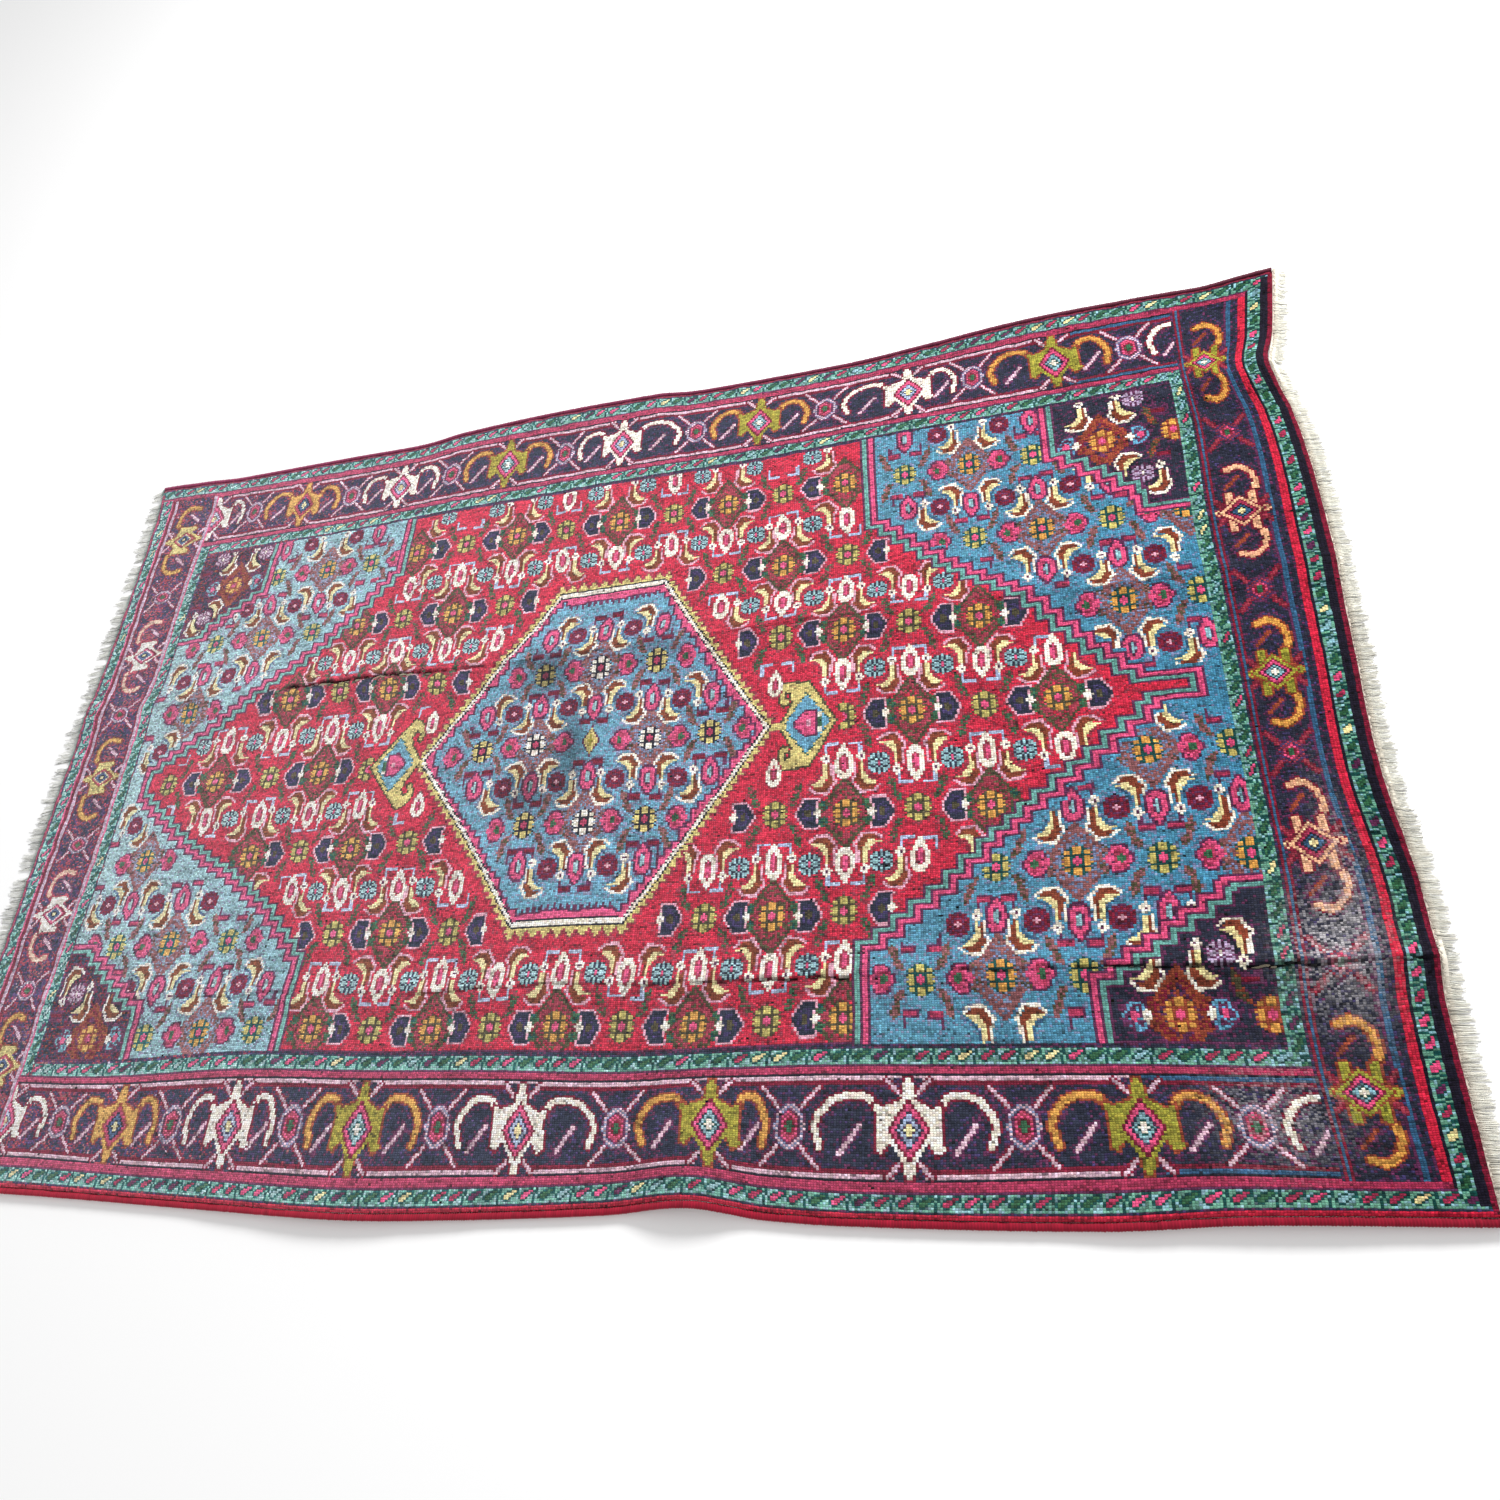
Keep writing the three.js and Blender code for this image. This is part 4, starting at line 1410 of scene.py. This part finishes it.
def make_selvedge(name, side, node, material, dyes):
    wraps = round(PILE_LENGTH / WRAP)
    rings = wraps * RINGS_PER_WRAP + 1
    s = np.linspace(0, 1, rings)[:, None]
    turn = np.linspace(0, 2 * math.pi, SECTION_POINTS, endpoint=False)[None, :]
    draw = np.random.default_rng(60 + side)
    wrap = np.clip(np.floor(s * wraps).astype(int), 0, wraps)
    swell = draw.normal(0, 0.12, wraps + 1)[wrap]
    groove = np.abs(np.cos(s * wraps * math.pi)) ** 3 * WRAP_DEPTH - swell
    across, up = section(turn, SELVEDGE_WIDTH / 2 - groove, SELVEDGE_HEIGHT / 2 - groove)
    slant = np.sin(turn) * WRAP_SLANT * np.minimum(1, 40 * s * (1 - s))
    u = (s - 0.5) * (PILE_LENGTH - 1.5) + slant
    v = side * (HALF_WIDTH + EDGE_GAP + SELVEDGE_WIDTH / 2 + across)
    points = laid(*np.broadcast_arrays(u, v), np.maximum(SELVEDGE_HEIGHT / 2 + up, 0.05))
    last = [quad[::-1] for quad in section_end((rings - 1) * SECTION_POINTS)]
    ends = np.array(section_end(0) + last)
    quads = np.concatenate([lattice(rings, SECTION_POINTS, closed=True), ends])
    if side > 0:
        quads = quads[:, ::-1]
    piece = new_piece(name, points.reshape(-1, 3), quads, node, material)
    # paler towards the left-hand end, as the pile: partly a real change in the wool, partly painted sheen
    pale, deep = (linear(dye) for dye in dyes)
    share = s[:-1]
    colours = (pale * (1 - share) + deep * share) * draw.normal(1, 0.09, wraps + 1)[wrap[:-1]]
    # painted shade: darker in the grooves between the wraps, lighter on their crests
    crest = np.arange(rings - 1) % RINGS_PER_WRAP == 1
    colours = colours * np.where(crest, 1.05, 0.82)[:, None]
    colours = np.concatenate([np.repeat(colours, SECTION_POINTS, axis=0), np.tile(deep, (len(ends), 1))])
    set_dye(piece, np.clip(colours, 0, YARN_BRIGHTEST))
    return piece


# The ends: a flat-woven strip and the cotton warp ends that hang out of it, in the locks of the solids
CLOSE_ROWS = (138, -400)
CLOSE_STEPS = (-60, -25, 0, 25, 60)
WIDE_ROW_STEP = 58.478
WIDE_ROW_LIMIT = 22
HALF_SPREAD = 682
# Numbers that keep the unevenness of the locks' lengths, slants and gaps apart, as in the solids
LENGTH, LEAN, WEAR = 1, 2, 3
FRINGES = (
    SimpleNamespace(
        name="fringe_left", side=-1, locks=116, strip=9, length=30, spread=7, lean=3.2, gap_share=0.06,
        threads=8, curl=2.6, fall=0.9, thread=0.58, dark_share=0.2, strip_dye=(150, 178, 176),
        thread_dye=(255, 255, 248),
    ),
    SimpleNamespace(
        name="fringe_right", side=1, locks=126, strip=8, length=15, spread=3, lean=1.3, gap_share=0,
        threads=10, curl=0.7, fall=0.94, thread=0.62, dark_share=0.08, strip_dye=(232, 224, 208),
        thread_dye=(255, 252, 240),
    ),
)


def uneven(index, row):
    """from -1 to 1, the same value for the same index and row"""
    value = math.sin(index * 12.9898 + row * 78.233) * 43758.5453
    return 2 * (value - math.floor(value)) - 1


def end_rows():
    """where the solids' ends are measured; between two such rows they run straight"""
    count = round(PILE_WIDTH / WIDE_ROW_STEP)
    wide = [-HALF_WIDTH + PILE_WIDTH * k / count for k in range(count + 1)]
    close = [at + step for at in CLOSE_ROWS for step in CLOSE_STEPS]
    kept = [at for at in wide if min(abs(at - c) for c in close) > WIDE_ROW_LIMIT]
    return np.array(sorted(kept + close + [-HALF_SPREAD, HALF_SPREAD]))


def past_end(side, past, v, height):
    """points past an end of the pile, on the straight runs between the end rows"""
    rows = end_rows()
    v = np.clip(v, rows[0], rows[-1])
    a = np.clip(np.searchsorted(rows, v, side="right") - 1, 0, len(rows) - 2)
    u = side * (HALF_LENGTH + EDGE_GAP + past)
    low = laid(u, rows[a], height)
    high = laid(u, rows[a + 1], height)
    share = ((v - rows[a]) / (rows[a + 1] - rows[a]))[..., None]
    return low * (1 - share) + high * share


THREAD_SIDES = 3


def tubes(paths, radii):
    """tubes of quads round centre lines: paths is (tubes, points, 3), radii is (tubes, points)"""
    along = np.gradient(paths, axis=1)
    along /= np.linalg.norm(along, axis=2, keepdims=True)
    level = np.cross(along, np.array([0.0, 0.0, 1.0]))
    level /= np.maximum(np.linalg.norm(level, axis=2, keepdims=True), 1e-6)
    upright = np.cross(level, along)
    turn = (np.arange(THREAD_SIDES) / THREAD_SIDES * 2 + 0.5) * math.pi
    spokes = level[:, :, None] * np.cos(turn)[:, None] + upright[:, :, None] * np.sin(turn)[:, None]
    rings = paths[:, :, None] + radii[:, :, None, None] * spokes
    count, points = paths.shape[:2]
    single = lattice(points, THREAD_SIDES, closed=True)
    quads = single[None] + (np.arange(count) * points * THREAD_SIDES)[:, None, None]
    return rings.reshape(-1, 3), quads.reshape(-1, 4)


THREAD_POINTS = 8
STRIP_TOP = 2.4
# The section of a strip: shares of its width, and heights
STRIP_SECTION = ((0, 0.05), (0, 2.2), (0.35, STRIP_TOP), (0.75, STRIP_TOP), (1, 1.4), (1, 0.05))
# How dark the threads are that stand for the shadows among the loose threads
DARK_THREAD = 0.36


def fringe_threads(spec, draw):
    """centre lines and radii of the threads of one end"""
    pitch = 2 * HALF_SPREAD / spec.locks
    paths, radii = [], []
    s = np.linspace(0, 1, THREAD_POINTS)
    for i in range(spec.locks):
        if (uneven(i, WEAR) + 1) / 2 < spec.gap_share:
            continue
        middle = -HALF_SPREAD + (i + 0.5) * pitch
        reach = spec.length + spec.spread * uneven(i, LENGTH)
        lean = spec.lean * uneven(i, LEAN)
        for k in range(spec.threads):
            place = (k + 0.5) / spec.threads - 0.5
            root = middle + place * pitch * 0.96
            tip = middle + lean + place * pitch * spec.fall + draw.normal(0, 0.8)
            length = reach * draw.uniform(0.72, 1.06)
            curl = spec.curl * s * np.sin(s * draw.uniform(2, 6) + draw.uniform(0, 6.3))
            v = root + (tip - root) * s + curl * draw.normal(0.6, 0.5)
            root_past = spec.strip * draw.uniform(0.15, 0.5)
            past = root_past + (spec.strip + length - root_past) * s + 0.3 * curl
            rest = spec.thread * 0.95 + draw.uniform(0, 1.5) * 4 * s * (1 - s)
            over_strip = np.clip((spec.strip * 1.5 - past) / (spec.strip * 0.5), 0, 1)
            height = rest + STRIP_TOP * over_strip
            ground = past_end(spec.side, past, v, 0)
            lifted = ground[:, 2] * (1 - s) ** 1.5
            paths.append(np.stack([ground[:, 0], ground[:, 1], height + lifted], axis=-1))
            radii.append(spec.thread * (1 - 0.45 * s ** 3) * draw.uniform(0.8, 1.1))
    return np.array(paths), np.array(radii)


STRIP_STEP = 4


def make_fringe(spec, material):
    draw = np.random.default_rng(70 + spec.side)
    paths, radii = fringe_threads(spec, draw)
    points, quads = tubes(paths, radii)
    columns = round(2 * HALF_SPREAD / STRIP_STEP)
    v = np.linspace(-HALF_SPREAD, HALF_SPREAD, columns + 1)[:, None]
    shares, heights = np.array(STRIP_SECTION).T
    height = np.maximum(heights + draw.normal(0, 0.1, (columns + 1, len(shares))), 0.05)
    strip = past_end(spec.side, *np.broadcast_arrays((shares * spec.strip)[None, :], v), height)
    strip_quads = lattice(columns + 1, len(shares), first=len(points), closed=True)
    if spec.side < 0:
        strip_quads = strip_quads[:, ::-1]
    everything = np.concatenate([points, strip.reshape(-1, 3)])
    piece = new_piece(spec.name + "_yarn", everything, np.concatenate([quads, strip_quads]),
                      spec.name, material)
    thread_dye, strip_dye = linear(spec.thread_dye), linear(spec.strip_dye)
    tones = draw.uniform(0.86, 1, len(paths))
    # painted shade: a share of the threads is much darker, for the shadows among the loose threads
    tones = tones * np.where(draw.random(len(paths)) < spec.dark_share, DARK_THREAD, 1)
    tones = np.repeat(tones, len(quads) // len(paths))[:, None]
    from_root = np.tile(np.repeat(np.linspace(0, 1, THREAD_POINTS - 1), THREAD_SIDES), len(paths))
    woven = 0.7 * np.clip(1 - from_root * 2.6, 0, 1)[:, None]
    threads = (thread_dye * (1 - woven) + strip_dye * woven) * tones
    strip_tones = np.repeat(draw.normal(1, 0.08, columns), len(shares))[:, None]
    set_dye(piece, np.clip(np.concatenate([threads, strip_dye * strip_tones]), 0, YARN_BRIGHTEST))
    return piece


wool = pile_material()
edge_yarn = yarn_material("edge wool", 0.6)
cotton_yarn = yarn_material("cotton warps", 0.4)
back_weave = yarn_material("knotted back", 0.8)

pile_strips = make_pile(wool)
foundation = make_foundation(back_weave)
far_dyes = ((150, 60, 96), (84, 24, 44))
near_dyes = ((170, 28, 54), (142, 12, 40))
selvedges = [
    make_selvedge("far_edge_winding", 1, "selvedge_far", edge_yarn, far_dyes),
    make_selvedge("near_edge_winding", -1, "selvedge_near", edge_yarn, near_dyes),
]
fringes = [make_fringe(spec, cotton_yarn) for spec in FRINGES]


# The camera stands near the near side of the rug and looks down across it
CAMERA_AT = (672.4, -719.8, 1274.45)
CAMERA_RIGHT = (0.957716, 0.042142, -0.284614)
CAMERA_UP = (0.090765, 0.894450, 0.437859)
CAMERA_FORWARD = (-0.273025, 0.445177, -0.852804)
SENSOR = 36
FOCUS_SHARE = 1027 / 1500
# The floor and the lights, in metres
FLOOR = 9
FLOOR_COLOUR = (0.94, 0.94, 0.94, 1)
SKY_STRENGTH = 0.7
LAMP_AT = (1.9, 3.0, 1.9)
LAMP_SIZE = 1.1
LAMP_ENERGY = 210


def make_camera():
    data = bpy.data.cameras.new("camera")
    data.sensor_width = SENSOR
    data.lens = SENSOR * FOCUS_SHARE
    data.clip_end = 60
    camera = bpy.data.objects.new("camera", data)
    turn = Matrix((CAMERA_RIGHT, CAMERA_UP, [-share for share in CAMERA_FORWARD])).transposed()
    camera.matrix_world = Matrix.Translation(Vector(CAMERA_AT) * MM) @ turn.to_4x4()
    bpy.context.scene.collection.objects.link(camera)
    bpy.context.scene.camera = camera


def make_floor():
    material = bpy.data.materials.new("pale floor")
    material.use_nodes = True
    shader = material.node_tree.nodes["Principled BSDF"]
    shader.inputs["Base Color"].default_value = FLOOR_COLOUR
    shader.inputs["Roughness"].default_value = 0.9
    mesh = bpy.data.meshes.new("floor")
    corners = [(-FLOOR, -FLOOR, 0), (FLOOR, -FLOOR, 0), (FLOOR, FLOOR, 0), (-FLOOR, FLOOR, 0)]
    mesh.from_pydata(corners, [], [(0, 1, 2, 3)])
    mesh.materials.append(material)
    floor = bpy.data.objects.new("floor", mesh)
    bpy.context.scene.collection.objects.link(floor)


def make_lights():
    world = bpy.data.worlds.new("studio")
    world.use_nodes = True
    background = world.node_tree.nodes["Background"]
    background.inputs["Color"].default_value = (1, 1, 1, 1)
    background.inputs["Strength"].default_value = SKY_STRENGTH
    bpy.context.scene.world = world
    lamp = bpy.data.lights.new("window light", "AREA")
    lamp.shape = "DISK"
    lamp.size = LAMP_SIZE
    lamp.energy = LAMP_ENERGY
    light = bpy.data.objects.new("window light", lamp)
    light.location = LAMP_AT
    light.rotation_euler = (-Vector(LAMP_AT)).to_track_quat("-Z", "Y").to_euler()
    bpy.context.scene.collection.objects.link(light)


make_camera()
make_floor()
make_lights()
bpy.context.scene.view_settings.view_transform = "Standard"
